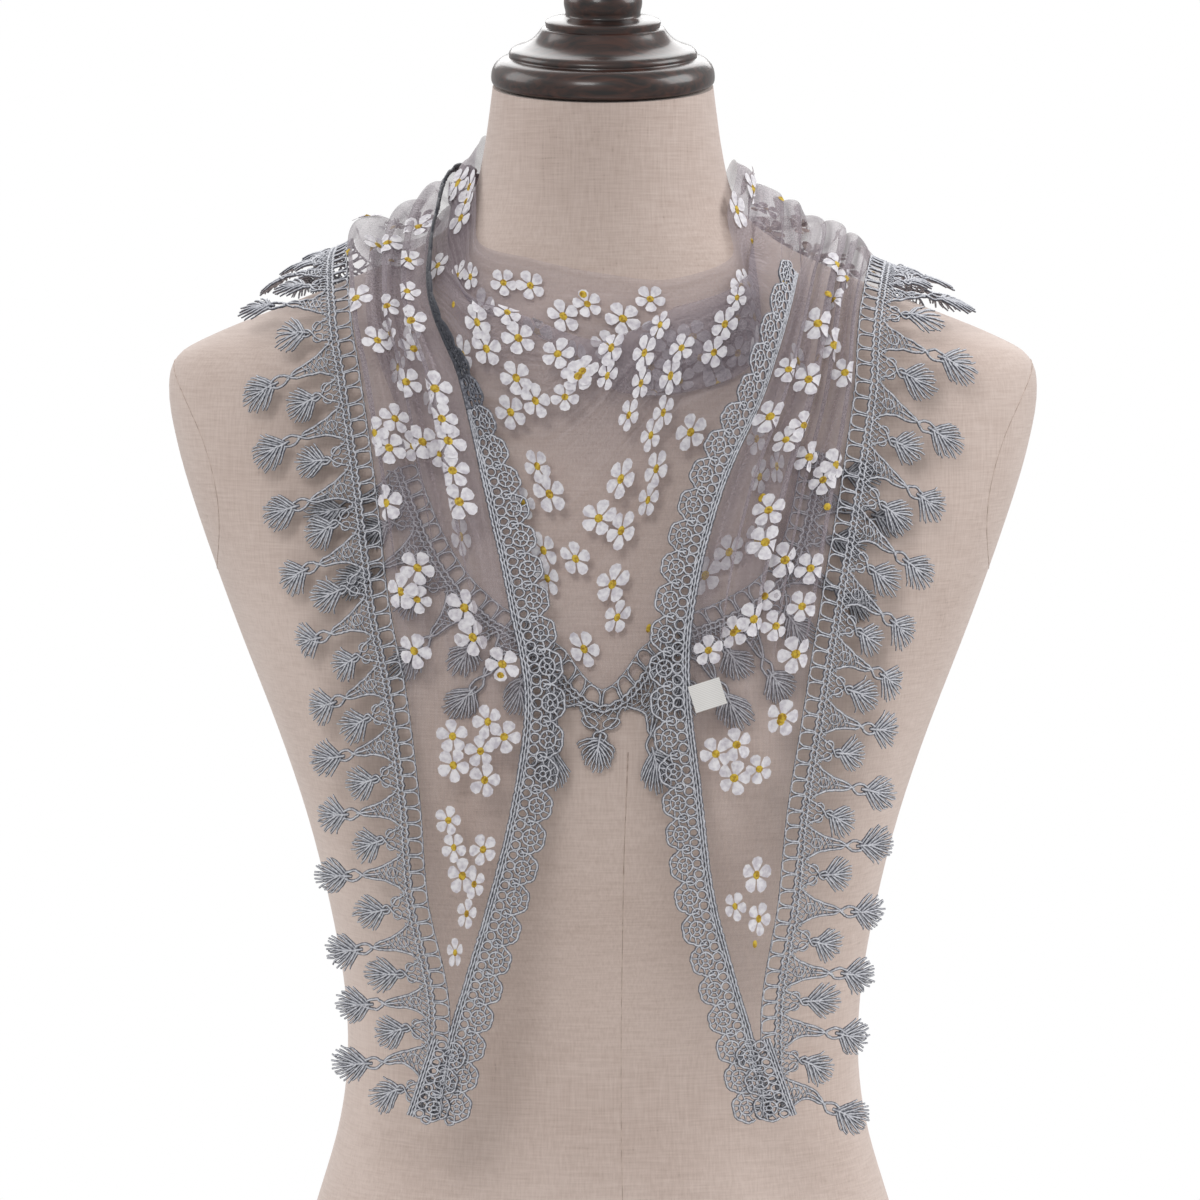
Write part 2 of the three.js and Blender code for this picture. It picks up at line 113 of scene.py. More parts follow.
def between(values: Array, row: Array, column: Array, *which: Array) -> Array:
    """Values at places between the points of a grid, mixed from the four points around each.

    Args:
        values: One vector for each point.
        row: Places along, counted in rows.
        column: Places across, counted in columns.
        which: The number of the grid, where there are many.

    Returns:
        The vectors there.
    """
    i, j = row.astype(int), column.astype(int)
    u, v = (row - i)[..., None], (column - j)[..., None]
    near = values[(*which, i, j)] * (1 - v) + values[(*which, i, j + 1)] * v
    far = values[(*which, i + 1, j)] * (1 - v) + values[(*which, i + 1, j + 1)] * v
    return near * (1 - u) + far * u


def distance(points: Array, axis: int) -> Array:
    """Millimetres from the first of a line of points to each of them, along an axis of a grid."""
    steps = np.diff(points, axis=axis, prepend=points.take([0], axis))
    return np.cumsum(norm(steps, axis=-1), axis)


def unit(vectors: Array) -> Array:
    """Vectors of length one along the last axis."""
    return vectors / np.maximum(norm(vectors, axis=-1, keepdims=True), 1e-9)


def turned(angle: float) -> Array:
    """The matrix that turns flat points, one in each row, by an angle in radians."""
    return np.array([[math.cos(angle), math.sin(angle)], [-math.sin(angle), math.cos(angle)]])


def linear(colour: str) -> tuple[float, float, float, float]:
    """A colour as the shaders read it.

    Args:
        colour: An sRGB hex value such as "#cbbcae".

    Returns:
        Linear red, green, blue and an alpha of 1.
    """
    values = [int(colour[i : i + 2], 16) / 255 for i in (1, 3, 5)]
    light = [v / 12.92 if v <= 0.04045 else ((v + 0.055) / 1.055) ** 2.4 for v in values]
    return (light[0], light[1], light[2], 1.0)


def plug(tree: Tree, node: bpy.types.Node, inputs: dict) -> None:
    """Sets a node's inputs.

    Args:
        tree: The node tree it is in.
        node: The node.
        inputs: Values or sockets by input name or number.
    """
    for name, value in inputs.items():
        if isinstance(value, bpy.types.NodeSocket):
            tree.links.new(value, node.inputs[name])
        else:
            node.inputs[name].default_value = value


def add_node(
    tree: Tree, kind: str, inputs: Optional[dict] = None, stops: Optional[Stops] = None, **settings
) -> bpy.types.Node:
    """Adds a node with its settings, values and links.

    Args:
        tree: The node tree it goes in.
        kind: The shader node's type.
        inputs: Values or sockets by input name or number.
        stops: What a node that spreads colours has along its ramp.
        settings: The node's own properties.

    Returns:
        The node.
    """
    node = tree.nodes.new(f"ShaderNode{kind}")
    for name, value in settings.items():
        setattr(node, name, value)
    plug(tree, node, inputs or {})
    if stops:
        elements = node.color_ramp.elements
        while len(elements) < len(stops):
            elements.new(0.5)
        for element, (place, colour) in zip(elements, stops):
            element.position, element.color = place, linear(colour)
    return node


@dataclass(frozen=True)
class Finish:
    """What every finish has: a name, and a look that its shader is given."""

    name: str

    def look(self, tree: Tree) -> dict:
        """Adds the nodes that give the finish its look.

        Args:
            tree: The material's node tree.

        Returns:
            The shader's inputs, as values or sockets by name.
        """
        raise NotImplementedError

    def make(self) -> Material:
        """Makes the material.

        Returns:
            The material, with its look.
        """
        material = bpy.data.materials.new(self.name)
        material.use_nodes = True
        plug(material.node_tree, material.node_tree.nodes["Principled BSDF"], self.look(material.node_tree))
        return material


@dataclass(frozen=True)
class WovenLinen(Finish):
    """Unbleached linen, plain woven: matt, with slubs along both sets of threads."""

    name: str = "woven_linen"
    pale: str = "#d8c7be"
    dark: str = "#c6b3a9"
    fleck: str = "#a5938a"
    thread: float = 0.8  # mm between threads, drawn coarser than the cloth so that it shows
    slub: float = 14.0  # mm along a slub
    clouds: float = 14.0  # soft patches in a metre
    raised: float = 0.6  # mm that slubs stand out

    def look(self, tree: Tree) -> dict:
        """Slubs both ways and a woven bump."""
        place = add_node(tree, "TexCoord").outputs["Object"]
        fine, long = 1 / (self.thread * MM), 1 / (self.slub * MM)
        slubs = []
        for scale in ((fine, fine, long), (long, long, fine)):
            spread = add_node(tree, "Mapping", {"Vector": place, "Scale": scale})
            look = {"Vector": spread.outputs[0], "Scale": 1.0, "Detail": 3.0, "Roughness": 0.6}
            slubs.append(add_node(tree, "TexNoise", look).outputs["Fac"])
        both = add_node(tree, "Math", {0: slubs[0], 1: slubs[1]}, operation="ADD")
        mean = add_node(tree, "Math", {0: both.outputs[0], 1: 0.5}, operation="MULTIPLY")
        weave = mean.outputs[0]
        soft = add_node(tree, "TexNoise", {"Vector": place, "Scale": self.clouds, "Detail": 4.0})
        tone = add_node(tree, "Mix", {"Factor": 0.3, "A": weave, "B": soft.outputs["Fac"]})
        stops = [(0.3, self.fleck), (0.39, self.dark), (0.6, self.pale)]
        colour = add_node(tree, "ValToRGB", {"Fac": tone.outputs["Result"]}, stops)
        relief = {"Height": weave, "Strength": 0.2, "Distance": self.raised * MM}
        bump = add_node(tree, "Bump", relief)
        return {
            "Base Color": colour.outputs["Color"], "Normal": bump.outputs["Normal"], "Roughness": 0.88,
            "Specular IOR Level": 0.25, "Sheen Weight": 0.25, "Sheen Roughness": 0.5,
        }


@dataclass(frozen=True)
class LacqueredWood(Finish):
    """Dark stained beech, turned and lacquered: brown in its lights, with a clear coat over the rings."""

    name: str = "lacquered_wood"
    deep: str = "#160d0b"
    warm: str = "#47271c"
    grain: float = 2.5  # mm between growth lines
    drawn_out: float = 0.12  # its change along its lines, as a share of across them
    raised: float = 0.4  # mm that the grain stands out

    def look(self, tree: Tree) -> dict:
        """Drawn-out grain under a coat."""
        place = add_node(tree, "TexCoord").outputs["Object"]
        across = 1 / (self.grain * MM)
        scale = (across * self.drawn_out, across, across)
        spread = add_node(tree, "Mapping", {"Vector": place, "Scale": scale})
        look = {"Vector": spread.outputs[0], "Scale": 1.0, "Detail": 5.0, "Distortion": 0.6}
        lines_of_grain = add_node(tree, "TexNoise", look).outputs["Fac"]
        stops = [(0.35, self.deep), (0.7, self.warm)]
        colour = add_node(tree, "ValToRGB", {"Fac": lines_of_grain}, stops)
        relief = {"Height": lines_of_grain, "Strength": 0.08, "Distance": self.raised * MM}
        bump = add_node(tree, "Bump", relief)
        return {
            "Base Color": colour.outputs["Color"], "Normal": bump.outputs["Normal"], "Roughness": 0.38,
            "Coat Weight": 0.6, "Coat Roughness": 0.16,
        }


@dataclass(frozen=True)
class SheerTulle(Finish):
    """Fine polyester tulle: most of the light goes through, less where it is drawn up."""

    name: str = "sheer_tulle"
    pale: str = "#c2b7be"
    dark: str = "#7d717b"
    cover: Pair = (0.03, 0.11)  # how much the thinnest and the closest places hide
    drawn_cover: float = 0.6  # how much more it hides where it is drawn up most
    drawn_painted_shade: float = -0.22  # how far down the colours it goes there: painted shade, deepest on the pleats' steep sides
    streak: Pair = (3.0, 90.0)  # mm across and along a streak
    speck: float = 0.9  # specks in a millimetre

    def look(self, tree: Tree) -> dict:
        """Streaks and specks, on the cloth's own millimetres, hiding more and painted darker where it is
        drawn up.
        """
        place = add_node(tree, "UVMap", uv_map="cut").outputs["UV"]
        scale = (1 / self.streak[1], 1 / self.streak[0], 1)
        spread = add_node(tree, "Mapping", {"Vector": place, "Scale": scale})
        look = {"Vector": spread.outputs[0], "Scale": 1.0, "Detail": 2.0}
        streaks = add_node(tree, "TexNoise", look).outputs["Fac"]
        look = {"Vector": place, "Scale": self.speck, "Detail": 2.0}
        specks = add_node(tree, "TexNoise", look).outputs["Fac"]
        both = add_node(tree, "Mix", {"Factor": 0.55, "A": streaks, "B": specks}).outputs["Result"]
        drawn = add_node(tree, "Attribute", attribute_name="drawn").outputs["Fac"]
        # partly real, partly painted: where drawn up the cloth hides more, and its colour is darkened as
        # painted shade, most on the pleats' steep sides
        shading = {0: drawn, 1: self.drawn_painted_shade, 2: both}
        shade = add_node(tree, "Math", shading, operation="MULTIPLY_ADD")
        stops = [(0.24, self.dark), (0.54, self.pale)]
        colour = add_node(tree, "ValToRGB", {"Fac": shade.outputs[0]}, stops)
        spread_of_cover = {"Value": both, 1: 0.35, 2: 0.65, 3: self.cover[0], 4: self.cover[1]}
        cover = add_node(tree, "MapRange", spread_of_cover)
        hiding = {0: drawn, 1: self.drawn_cover, 2: cover.outputs[0]}
        hide = add_node(tree, "Math", hiding, operation="MULTIPLY_ADD")
        return {
            "Base Color": colour.outputs["Color"], "Alpha": hide.outputs[0], "Roughness": 0.55,
            "Sheen Weight": 0.5, "Sheen Roughness": 0.3,
        }


@dataclass(frozen=True)
class LaceThread(Finish):
    """Embroidery thread: twisted polyester, blue grey, lighter where the twist catches the light."""

    name: str = "lace_thread"
    dark: str = "#353842"
    middle: str = "#7b7d88"
    light: str = "#dfe1e8"
    twist: float = 1.3  # mm between turns of the thread, drawn coarser so that it shows
    raised: float = 0.3  # mm that the twist stands out

    def look(self, tree: Tree) -> dict:
        """Mottled by the twist and the stitches, with a painted highlight along each thread's top and painted
        shade along its sides.
        """
        place = add_node(tree, "TexCoord").outputs["Object"]
        look = {"Vector": place, "Scale": 1 / (self.twist * MM), "Detail": 2.0, "Roughness": 0.7}
        speck = add_node(tree, "TexNoise", look).outputs["Fac"]
        # painted light: each thread is drawn lighter on its upper corner and darker on its side corners, as
        # light falls on a round thread
        painted_ridge_light = add_node(tree, "Attribute", attribute_name="painted_ridge_light").outputs["Fac"]
        tone = add_node(tree, "Mix", {"Factor": 0.48, "A": speck, "B": painted_ridge_light})
        stops = [(0.32, self.dark), (0.5, self.middle), (0.7, self.light)]
        colour = add_node(tree, "ValToRGB", {"Fac": tone.outputs["Result"]}, stops)
        relief = {"Height": speck, "Strength": 0.5, "Distance": self.raised * MM}
        bump = add_node(tree, "Bump", relief)
        return {
            "Base Color": colour.outputs["Color"], "Normal": bump.outputs["Normal"], "Roughness": 0.55,
            "Sheen Weight": 0.2,
        }


@dataclass(frozen=True)
class StitchedThread(Finish):
    """Thread in close stitches: matt, mottled at random between a deep and a light colour."""

    deep: str
    light: str
    turns: Pair  # where the mottling is all deep, and all light
    stitches: float  # in a metre
    detail: float
    roughness: float
    relief: float = 0.0  # how strongly the stitches show as relief
    raised: float = 0.3  # mm that they stand out

    def look(self, tree: Tree) -> dict:
        """Mottled by the stitches."""
        place = add_node(tree, "TexCoord").outputs["Object"]
        look = {"Vector": place, "Scale": self.stitches, "Detail": self.detail}
        noise = add_node(tree, "TexNoise", look).outputs["Fac"]
        stops = list(zip(self.turns, (self.deep, self.light)))
        colour = add_node(tree, "ValToRGB", {"Fac": noise}, stops)
        inputs = {"Base Color": colour.outputs["Color"], "Roughness": self.roughness}
        if self.relief:
            relief = {"Height": noise, "Strength": self.relief, "Distance": self.raised * MM}
            inputs["Normal"] = add_node(tree, "Bump", relief).outputs["Normal"]
        return inputs


# Linen turned into a seam: the same cloth, in its own shade
LINEN_SEAM = StitchedThread("linen_seam", "#ac998e", "#cdbbb0", (0.4, 0.6), 260.0, 2.0, 0.9)
# White satin stitch: close, soft and nearly opaque, its stitches drawn coarser so that they show
SATIN_PETAL = StitchedThread("satin_petal", "#c9c4cd", "#eeecf0", (0.32, 0.6), 420.0, 3.0, 0.6, 0.3)
# Mustard yellow thread in knots, mottled darker at random
FLOWER_EYE = StitchedThread("flower_eye", "#9a7414", "#d8b93c", (0.35, 0.6), 700.0, 2.0, 0.7)


@dataclass(frozen=True)
class WovenTape(Finish):
    """White satin label tape, finely ribbed."""

    name: str = "woven_tape"
    white: str = "#f4f3f1"
    shade: str = "#e2e0dd"
    rib: float = 0.7  # mm between ribs
    wave: float = 3.2  # waves in a unit of the wave texture
    raised: float = 0.2  # mm that the ribs stand out

    def look(self, tree: Tree) -> dict:
        """Ribbed along the cloth."""
        place = add_node(tree, "UVMap", uv_map="cut").outputs["UV"]
        look = {"Vector": place, "Scale": 1 / self.rib / self.wave, "Distortion": 0.4}
        ribs = add_node(tree, "TexWave", look, bands_direction="Y").outputs["Fac"]
        stops = [(0.2, self.shade), (0.7, self.white)]
        colour = add_node(tree, "ValToRGB", {"Fac": ribs}, stops)
        relief = {"Height": ribs, "Strength": 0.2, "Distance": self.raised * MM}
        bump = add_node(tree, "Bump", relief)
        return {
            "Base Color": colour.outputs["Color"], "Normal": bump.outputs["Normal"], "Roughness": 0.45
        }


@dataclass(frozen=True)
class StudioFloor(Finish):
    """Matt white studio floor."""

    name: str = "studio_floor"
    colour: str = "#f4f3f1"

    def look(self, tree: Tree) -> dict:
        """One plain pale colour."""
        return {"Base Color": linear(self.colour), "Roughness": 0.9}


def mesh_piece(name: str, shape: Faces, materials: list[Material], uvs: Optional[Array] = None) -> Piece:
    """Makes an object from arrays of points and faces.

    Args:
        name: The piece's name.
        shape: Points in millimetres, and corner numbers, one row for each face.
        materials: The piece's materials.
        uvs: The cloth's own millimetres at each point.

    Returns:
        The object, at the origin and shaded smooth.
    """
    points, faces = shape
    mesh = bpy.data.meshes.new(name)
    count, corners = faces.shape
    mesh.vertices.add(len(points))
    mesh.vertices.foreach_set("co", (points * MM).astype(np.float32).ravel())
    mesh.loops.add(count * corners)
    mesh.loops.foreach_set("vertex_index", faces.astype(np.int32).ravel())
    mesh.polygons.add(count)
    mesh.polygons.foreach_set("loop_start", np.arange(0, count * corners, corners, dtype=np.int32))
    mesh.polygons.foreach_set("use_smooth", np.ones(count, bool))
    mesh.update(calc_edges=True)
    mesh.validate()
    if uvs is not None:
        layer = mesh.uv_layers.new(name="cut")
        layer.data.foreach_set("uv", uvs[faces.ravel()].astype(np.float32).ravel())
    for material in materials:
        mesh.materials.append(material)
    piece = bpy.data.objects.new(name, mesh)
    bpy.context.collection.objects.link(piece)
    return piece


def write_attribute(piece: Piece, name: str, values: Array) -> None:
    """Gives a piece's points a value that its material reads."""
    attribute = piece.data.attributes.new(name, "FLOAT", "POINT")
    attribute.data.foreach_set("value", values.astype(np.float32).ravel())


def settle_piece(piece: Piece, slot: str, *nodes: str) -> Piece:
    """Rides a piece on the part and hides the solids that it replaces.

    Args:
        piece: The piece.
        slot: Not used.
        nodes: The solids that it replaces.

    Returns:
        The piece.
    """
    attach(piece, "root")
    if nodes:
        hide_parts(*nodes)
    LOG.info("%s: %d faces", piece.name, len(piece.data.polygons))
    return piece


def grid_faces(rows: int, columns: int) -> Array:
    """The quads of a grid of points, row after row."""
    first = (np.arange(rows - 1)[:, None] * columns + np.arange(columns - 1)).ravel()
    return np.stack([first, first + columns, first + columns + 1, first + 1], -1)


def thread_tubes(paths: Array, outs: Array, radius: float, closed: bool = False, tip: float = 1.0) -> Faces:
    """Four-sided tubes along many paths of the same count of points, each with one corner turned up.

    Args:
        paths: Points, path by path.
        outs: Ways out of the lace at those points.
        radius: The thread's radius.
        closed: Whether each path is a ring.
        tip: The radius at the far end, as a share of the near one.

    Returns:
        Points and quads.
    """
    paths, outs = paths.reshape(-1, *paths.shape[-2:]), outs.reshape(-1, *outs.shape[-2:])
    count, length = paths.shape[:2]
    if closed:
        along = np.roll(paths, -1, 1) - np.roll(paths, 1, 1)
    else:
        along = np.gradient(paths, axis=1)
    along = unit(along)
    side = unit(np.cross(along, outs))
    up = np.cross(side, along)
    thick = (radius * np.linspace(1, tip, length))[None, :, None]
    rings = []
    for k in range(4):
        angle = k * math.pi / 2
        rings.append(paths + thick * (math.cos(angle) * side + math.sin(angle) * up))
    points = np.stack(rings, 2).reshape(-1, 3)
    spans = length if closed else length - 1
    base = (np.arange(count) * length * 4)[:, None, None]
    step, k = np.arange(spans)[:, None], np.arange(4)
    here, there, after = base + step * 4, base + (step + 1) % length * 4, (k + 1) % 4
    faces = np.stack([here + k, there + k, there + after, here + after], -1).reshape(-1, 4)
    if not closed:
        starts = base[:, 0] + k
        ends = base[:, 0] + (length - 1) * 4 + k[::-1]
        faces = np.vstack([faces, starts, ends])
    return points, faces


def join_parts(parts: list[Faces]) -> Faces:
    """Joins lists of points and faces into one.

    Args:
        parts: Points and faces, part by part.

    Returns:
        All points and all faces.
    """
    starts = np.cumsum([0] + [len(points) for points, _ in parts])
    faces = [faces + start for (_, faces), start in zip(parts, starts)]
    return np.vstack([points for points, _ in parts]), np.vstack(faces)


class Section(NamedTuple):
    """One level section of the form, in millimetres and degrees."""

    height: float
    half_width: float
    front: float
    back: float
    shift: float = 0
    slant: float = 0
    square: float = 2.2


@dataclass
class DressForm:
    """The limbless form: a linen body with sewn seams, and a turned wooden cap on its neck."""

    sections: tuple[Section, ...] = (
        Section(0, 155, 104, 118), Section(50, 151, 103, 117), Section(100, 139, 99, 110),
        Section(141, 126, 94, 102), Section(172, 117, 90, 94), Section(200, 113, 88, 88),
        Section(229, 113.5, 92, 84), Section(260, 118, 103, 84), Section(304, 128, 119, 90),
        Section(345, 141, 126, 97, 0, 0, 2.25), Section(400, 162, 118, 103, 0, 0, 2.3),
        Section(444, 177.5, 104, 104, 0, 0, 2.4), Section(475, 186.5, 93, 101, 0, 0, 2.45),
        Section(500, 190, 84, 96, 0, 0, 2.5), Section(514, 185, 78, 92, 0, 1, 2.5),
        Section(523, 168, 74, 89, 0, 2, 2.5), Section(533, 142, 70, 85, 0, 4, 2.4),
        Section(546, 108, 64, 78, 0, 7, 2.3), Section(558, 82, 58, 70, 2, 9, 2.2),
        Section(572, 64, 54, 60, 4, 10, 2.1), Section(586, 56, 51, 53, 6, 10, 2),
        Section(603, 52, 49, 48, 8, 10, 2), Section(620, 49.5, 48, 46, 10, 10, 2),
        Section(632, 48, 47, 46, 12, 10, 2),
    )
    # Radius and height above the neck's top of the turned cap
    cap_profile: tuple[Pair, ...] = (
        (45, 0), (48.2, 1.6), (48.6, 5), (47.6, 8.6), (44.6, 11.6), (41, 12.8), (40.9, 14.4), (39.4, 16.2),
        (35.5, 17.6), (31.4, 19.8), (28.4, 22.8), (26.4, 25.4), (24.9, 25.9), (25, 28.2), (22.5, 29.4),
        (17.2, 30.4), (16.3, 32), (17, 35.5), (16.6, 39), (14, 42.6), (9.6, 45.6), (8.6, 47), (9.5, 50),
        (8.2, 53), (4.5, 55.2),
    )
    cap_seat: float = 0.3  # mm between the neck's top and the cap
    cap_sides: int = 72
    cap_rings: int = 72
    cap_crease: float = 40.0  # degrees past which the cap's faces meet sharply
    hang_height: float = 345  # below this the cloth hangs straight down
    hang_ease: float = 16
    sides: int = 112
    rings_per_section: int = 5
    body_crease: float = 50.0
    lower_edge: float = 4.0  # mm by which the lower edge is rounded
    fineness: float = 0.25  # mm between the sections that are looked up
    seam_radius: float = 0.26
    seam_sunk: float = 0.1
    seam_foot: float = 8.0  # height at which the upright seams start
    # Seams down the front, back and sides: turn in degrees, top and count of points
    upright_seams: tuple[Triple, ...] = ((-87, 350, 150), (90, 606, 150), (4, 492, 140), (176, 492, 140))
    arm_seam: Triple = (465, 46, 26)  # height, half height and half turn in degrees
    lower_seam: float = 16.0
    _fine: Array = field(init=False, repr=False)

    def __post_init__(self) -> None:
        """Samples the smooth curves through the sections' columns at fine steps of height."""
        rows = np.array(self.sections, float)
        levels, last = rows[:, 0], len(rows) - 1
        heights = np.arange(0, levels[-1] + 2 * self.fineness, self.fineness).clip(0, levels[-1])
        i = np.clip(np.searchsorted(levels, heights, side="right") - 1, 0, last - 1)
        step = (levels[i + 1] - levels[i])[:, None]
        u = (heights[:, None] - levels[i][:, None]) / step
        before, after = np.maximum(i - 1, 0), np.minimum(i + 2, last)
        leave = (rows[i + 1] - rows[before]) / (levels[i + 1] - levels[before])[:, None]
        arrive = (rows[after] - rows[i]) / (levels[after] - levels[i])[:, None]
        smooth = (
            (1 + 2 * u) * (1 - u) ** 2 * rows[i]
            + u * (1 - u) ** 2 * step * leave
            + u * u * (3 - 2 * u) * rows[i + 1]
            + u * u * (u - 1) * step * arrive
        )
        self._fine = smooth[:, 1:]

    def section_at(self, height: Array) -> Array:
        """Args:
            height: Heights in millimetres.

        Returns:
            Half width, front, back, shift, slant and squareness along the last axis.
        """
        at = np.clip(height / self.fineness, 0, len(self._fine) - INSIDE)
        i = at.astype(int)
        u = (at - i)[..., None]
        return self._fine[i] * (1 - u) + self._fine[i + 1] * u

    def shaping(self, height: Array) -> Array:
        """The height at which the form shapes the cloth: its own above the chest, the chest's below."""
        above = height - self.hang_height
        return self.hang_height + (above + np.hypot(above, self.hang_ease)) / 2

    def share(self, points: Array) -> Array:
        """How far out points are, as a share of the radius that cloth rests on there."""
        x, y, z = np.moveaxis(points, -1, 0)
        height = z
        for _ in range(3):
            row = self.section_at(self.shaping(height))
            height = z - np.tan(np.radians(row[..., 4])) * y
        deep = y + row[..., 3]
        depth = np.where(deep < 0, row[..., 1], row[..., 2])
        power = row[..., 5]
        return ((np.abs(x) / row[..., 0]) ** power + (np.abs(deep) / depth) ** power) ** (1 / power)

    def slope(self, points: Array) -> Array:
        """The way in which the share grows fastest."""
        probe = 0.05
        sides = [(self.share(points + step), self.share(points - step)) for step in np.eye(3) * probe]
        return np.stack([(far - near) / (2 * probe) for far, near in sides], -1)

    def settle(self, points: Array) -> tuple[Array, Array]:
        """Moves points on to the form.

        Args:
            points: Points near the form.

        Returns:
            The points on it, and the ways out there.
        """
        place = np.array(points, float)
        for _ in range(6):
            slope = self.slope(place)
            place = place + slope * ((1 - self.share(place)) / (slope * slope).sum(-1))[..., None]
        return place, unit(self.slope(place))

    def front(self, x: float, z: float) -> Triple:
        """The point on the front of the form, as the cloth meets it, at a place across and a height."""
        half_width, front, _, shift, _, square = self.section_at(self.shaping(np.array(float(z))))
        return x, -front * max(1 - (abs(x) / half_width) ** square, 0) ** (1 / square) - shift, z

    def skin(self, turn: Array, height: Array) -> Array:
        """Points on the form's own surface.

        Args:
            turn: Angles round it, 0 at +X.
            height: Heights before the slant.

        Returns:
            The points.
        """
        half_width, front, back, shift, slant, square = np.moveaxis(self.section_at(height), -1, 0)

        def square_off(value: Array) -> Array:
            """A sine or cosine, pushed out towards the section's corners."""
            return np.sign(value) * np.abs(value) ** (2 / square)

        deep = square_off(np.sin(turn))
        y = deep * np.where(deep < 0, front, back) - shift
        z = height + np.tan(np.radians(slant)) * y
        return np.stack([half_width * square_off(np.cos(turn)), y, z], -1)

    @staticmethod
    def select_edges(mesh: bpy.types.Mesh, wanted: Callable[[float, float], bool]) -> None:
        """Goes into edit mode with the edges selected whose ends' heights are wanted."""
        bpy.ops.object.mode_set(mode="EDIT")
        bpy.ops.mesh.select_all(action="DESELECT")
        bpy.ops.mesh.select_mode(type="EDGE")
        bpy.ops.object.mode_set(mode="OBJECT")
        for edge in mesh.edges:
            edge.select = wanted(*(mesh.vertices[v].co.z for v in edge.vertices))
        bpy.ops.object.mode_set(mode="EDIT")

    def build_body(self) -> Piece:
        """Models the body from a cylinder, ringed and then shaped section by section.

        Returns:
            The body.
        """
        bpy.ops.object.select_all(action="DESELECT")
        bpy.ops.mesh.primitive_cylinder_add(
            vertices=self.sides, radius=0.1, depth=1.0, location=(0, 0, 0.5), end_fill_type="NGON"
        )
        body = bpy.context.object
        bpy.ops.object.transform_apply(location=True, rotation=True, scale=True)
        mesh = body.data
        self.select_edges(mesh, lambda low, high: abs(high - low) > 0.5)
        bpy.ops.mesh.subdivide(number_cuts=(len(self.sections) - 1) * self.rings_per_section - 1)
        bpy.ops.object.mode_set(mode="OBJECT")
        points = np.zeros(len(mesh.vertices) * 3)
        mesh.vertices.foreach_get("co", points)
        points = points.reshape(-1, 3)
        levels = np.array([row.height for row in self.sections], float)
        height = np.interp(points[:, 2] * (len(levels) - 1), np.arange(len(levels)), levels)
        shaped = self.skin(np.arctan2(points[:, 1], points[:, 0]), height)
        mesh.vertices.foreach_set("co", (shaped * MM).ravel())
        mesh.update()
        self.select_edges(mesh, lambda low, high: max(low, high) < TINY)
        bpy.ops.mesh.bevel(offset=self.lower_edge * MM, segments=4, profile=0.6)
        bpy.ops.object.mode_set(mode="OBJECT")
        bpy.ops.object.shade_smooth_by_angle(angle=math.radians(self.body_crease))
        body.name = mesh.name = "linen_body"
        mesh.materials.append(WovenLinen().make())
        return settle_piece(body, "linen", "form_body")

    def seam_lines(self) -> list[Array]:
        """The sewn lines: down the body, round the arm ends and above the lower edge.

        Returns:
            Turns and heights along each line.
        """
        seams = []
        for turn, top, count in self.upright_seams:
            tall = np.linspace(self.seam_foot, top, count)
            seams.append(np.stack([np.full_like(tall, math.radians(turn)), tall], -1))
        around = np.linspace(0, 2 * math.pi, 160)
        height, half_height, half_turn = self.arm_seam
        for middle in (0, math.pi):
            turn = middle + math.radians(half_turn) * np.sin(around)
            seams.append(np.stack([turn, height + half_height * np.cos(around)], -1))
        seams.append(np.stack([around, np.full_like(around, self.lower_seam)], -1))
        return seams

    def build_seams(self) -> Piece:
        """Lays a fine half-sunk cord along every seam line.

        Returns:
            The seams, as one piece.
        """
        parts = []
        for line in self.seam_lines():
            path = self.skin(line[:, 0], line[:, 1])
            _, out = self.settle(path)
            parts.append(thread_tubes(path[None] - self.seam_sunk * out[None], out[None], self.seam_radius))
        seams = mesh_piece("linen_seams", join_parts(parts), [LINEN_SEAM.make()])
        return settle_piece(seams, "linen")

    def build_cap(self) -> Piece:
        """Turns the cap from a disc, extruded and scaled row by row up its profile.

        Returns:
            The cap.
        """
        rows = np.linspace(0, len(self.cap_profile) - 1, self.cap_rings + 1)
        profile = through(np.array(self.cap_profile, float), rows) * MM
        bpy.ops.object.select_all(action="DESELECT")
        bpy.ops.mesh.primitive_circle_add(vertices=self.cap_sides, radius=profile[0, 0], fill_type="NGON")
        cap = bpy.context.object
        bpy.ops.object.mode_set(mode="EDIT")
        bpy.ops.mesh.select_all(action="SELECT")
        for (radius, height), (before, low) in zip(profile[1:], profile[:-1]):
            size = radius / before
            bpy.ops.mesh.extrude_region_move(TRANSFORM_OT_translate={"value": (0, 0, height - low)})
            bpy.ops.transform.resize(value=(size, size, 1), center_override=(0, 0, height))
        bpy.ops.mesh.select_all(action="SELECT")
        bpy.ops.mesh.remove_doubles(threshold=TINY)
        bpy.ops.mesh.normals_make_consistent(inside=False)
        bpy.ops.object.mode_set(mode="OBJECT")
        top = self.sections[-1]
        tilt = math.radians(top.slant)
        seat = Vector((0, -top.shift, top.height - math.tan(tilt) * top.shift + self.cap_seat)) * MM
        cap.data.transform(Matrix.Translation(seat) @ Matrix.Rotation(tilt, 4, "X"))
        cap.data.update()
        bpy.ops.object.shade_smooth_by_angle(angle=math.radians(self.cap_crease))
        cap.name = cap.data.name = "turned_cap"
        cap.data.materials.append(LacqueredWood().make())
        return settle_piece(cap, "dark_wood", "neck_cap")


class Row(NamedTuple):
    """One section across the shawl, from hem to fringed edge."""

    hem: Seat
    fringe: Seat
    hem_lift: float  # mm off the form
    fringe_lift: float
    pleat: float  # mm from the pleats' valleys to their crests
    gather: float  # degrees that the pleats' sides turn through
    folds: float = 3  # pleats across the cloth


class Fold(NamedTuple):
    """The cowl's fold at one row: where its upper and hidden lower edges lie, and how far it has formed."""

    row: float
    upper: float
    lower: float
    formed: float
    depth: float  # mm between the innermost and outermost layers


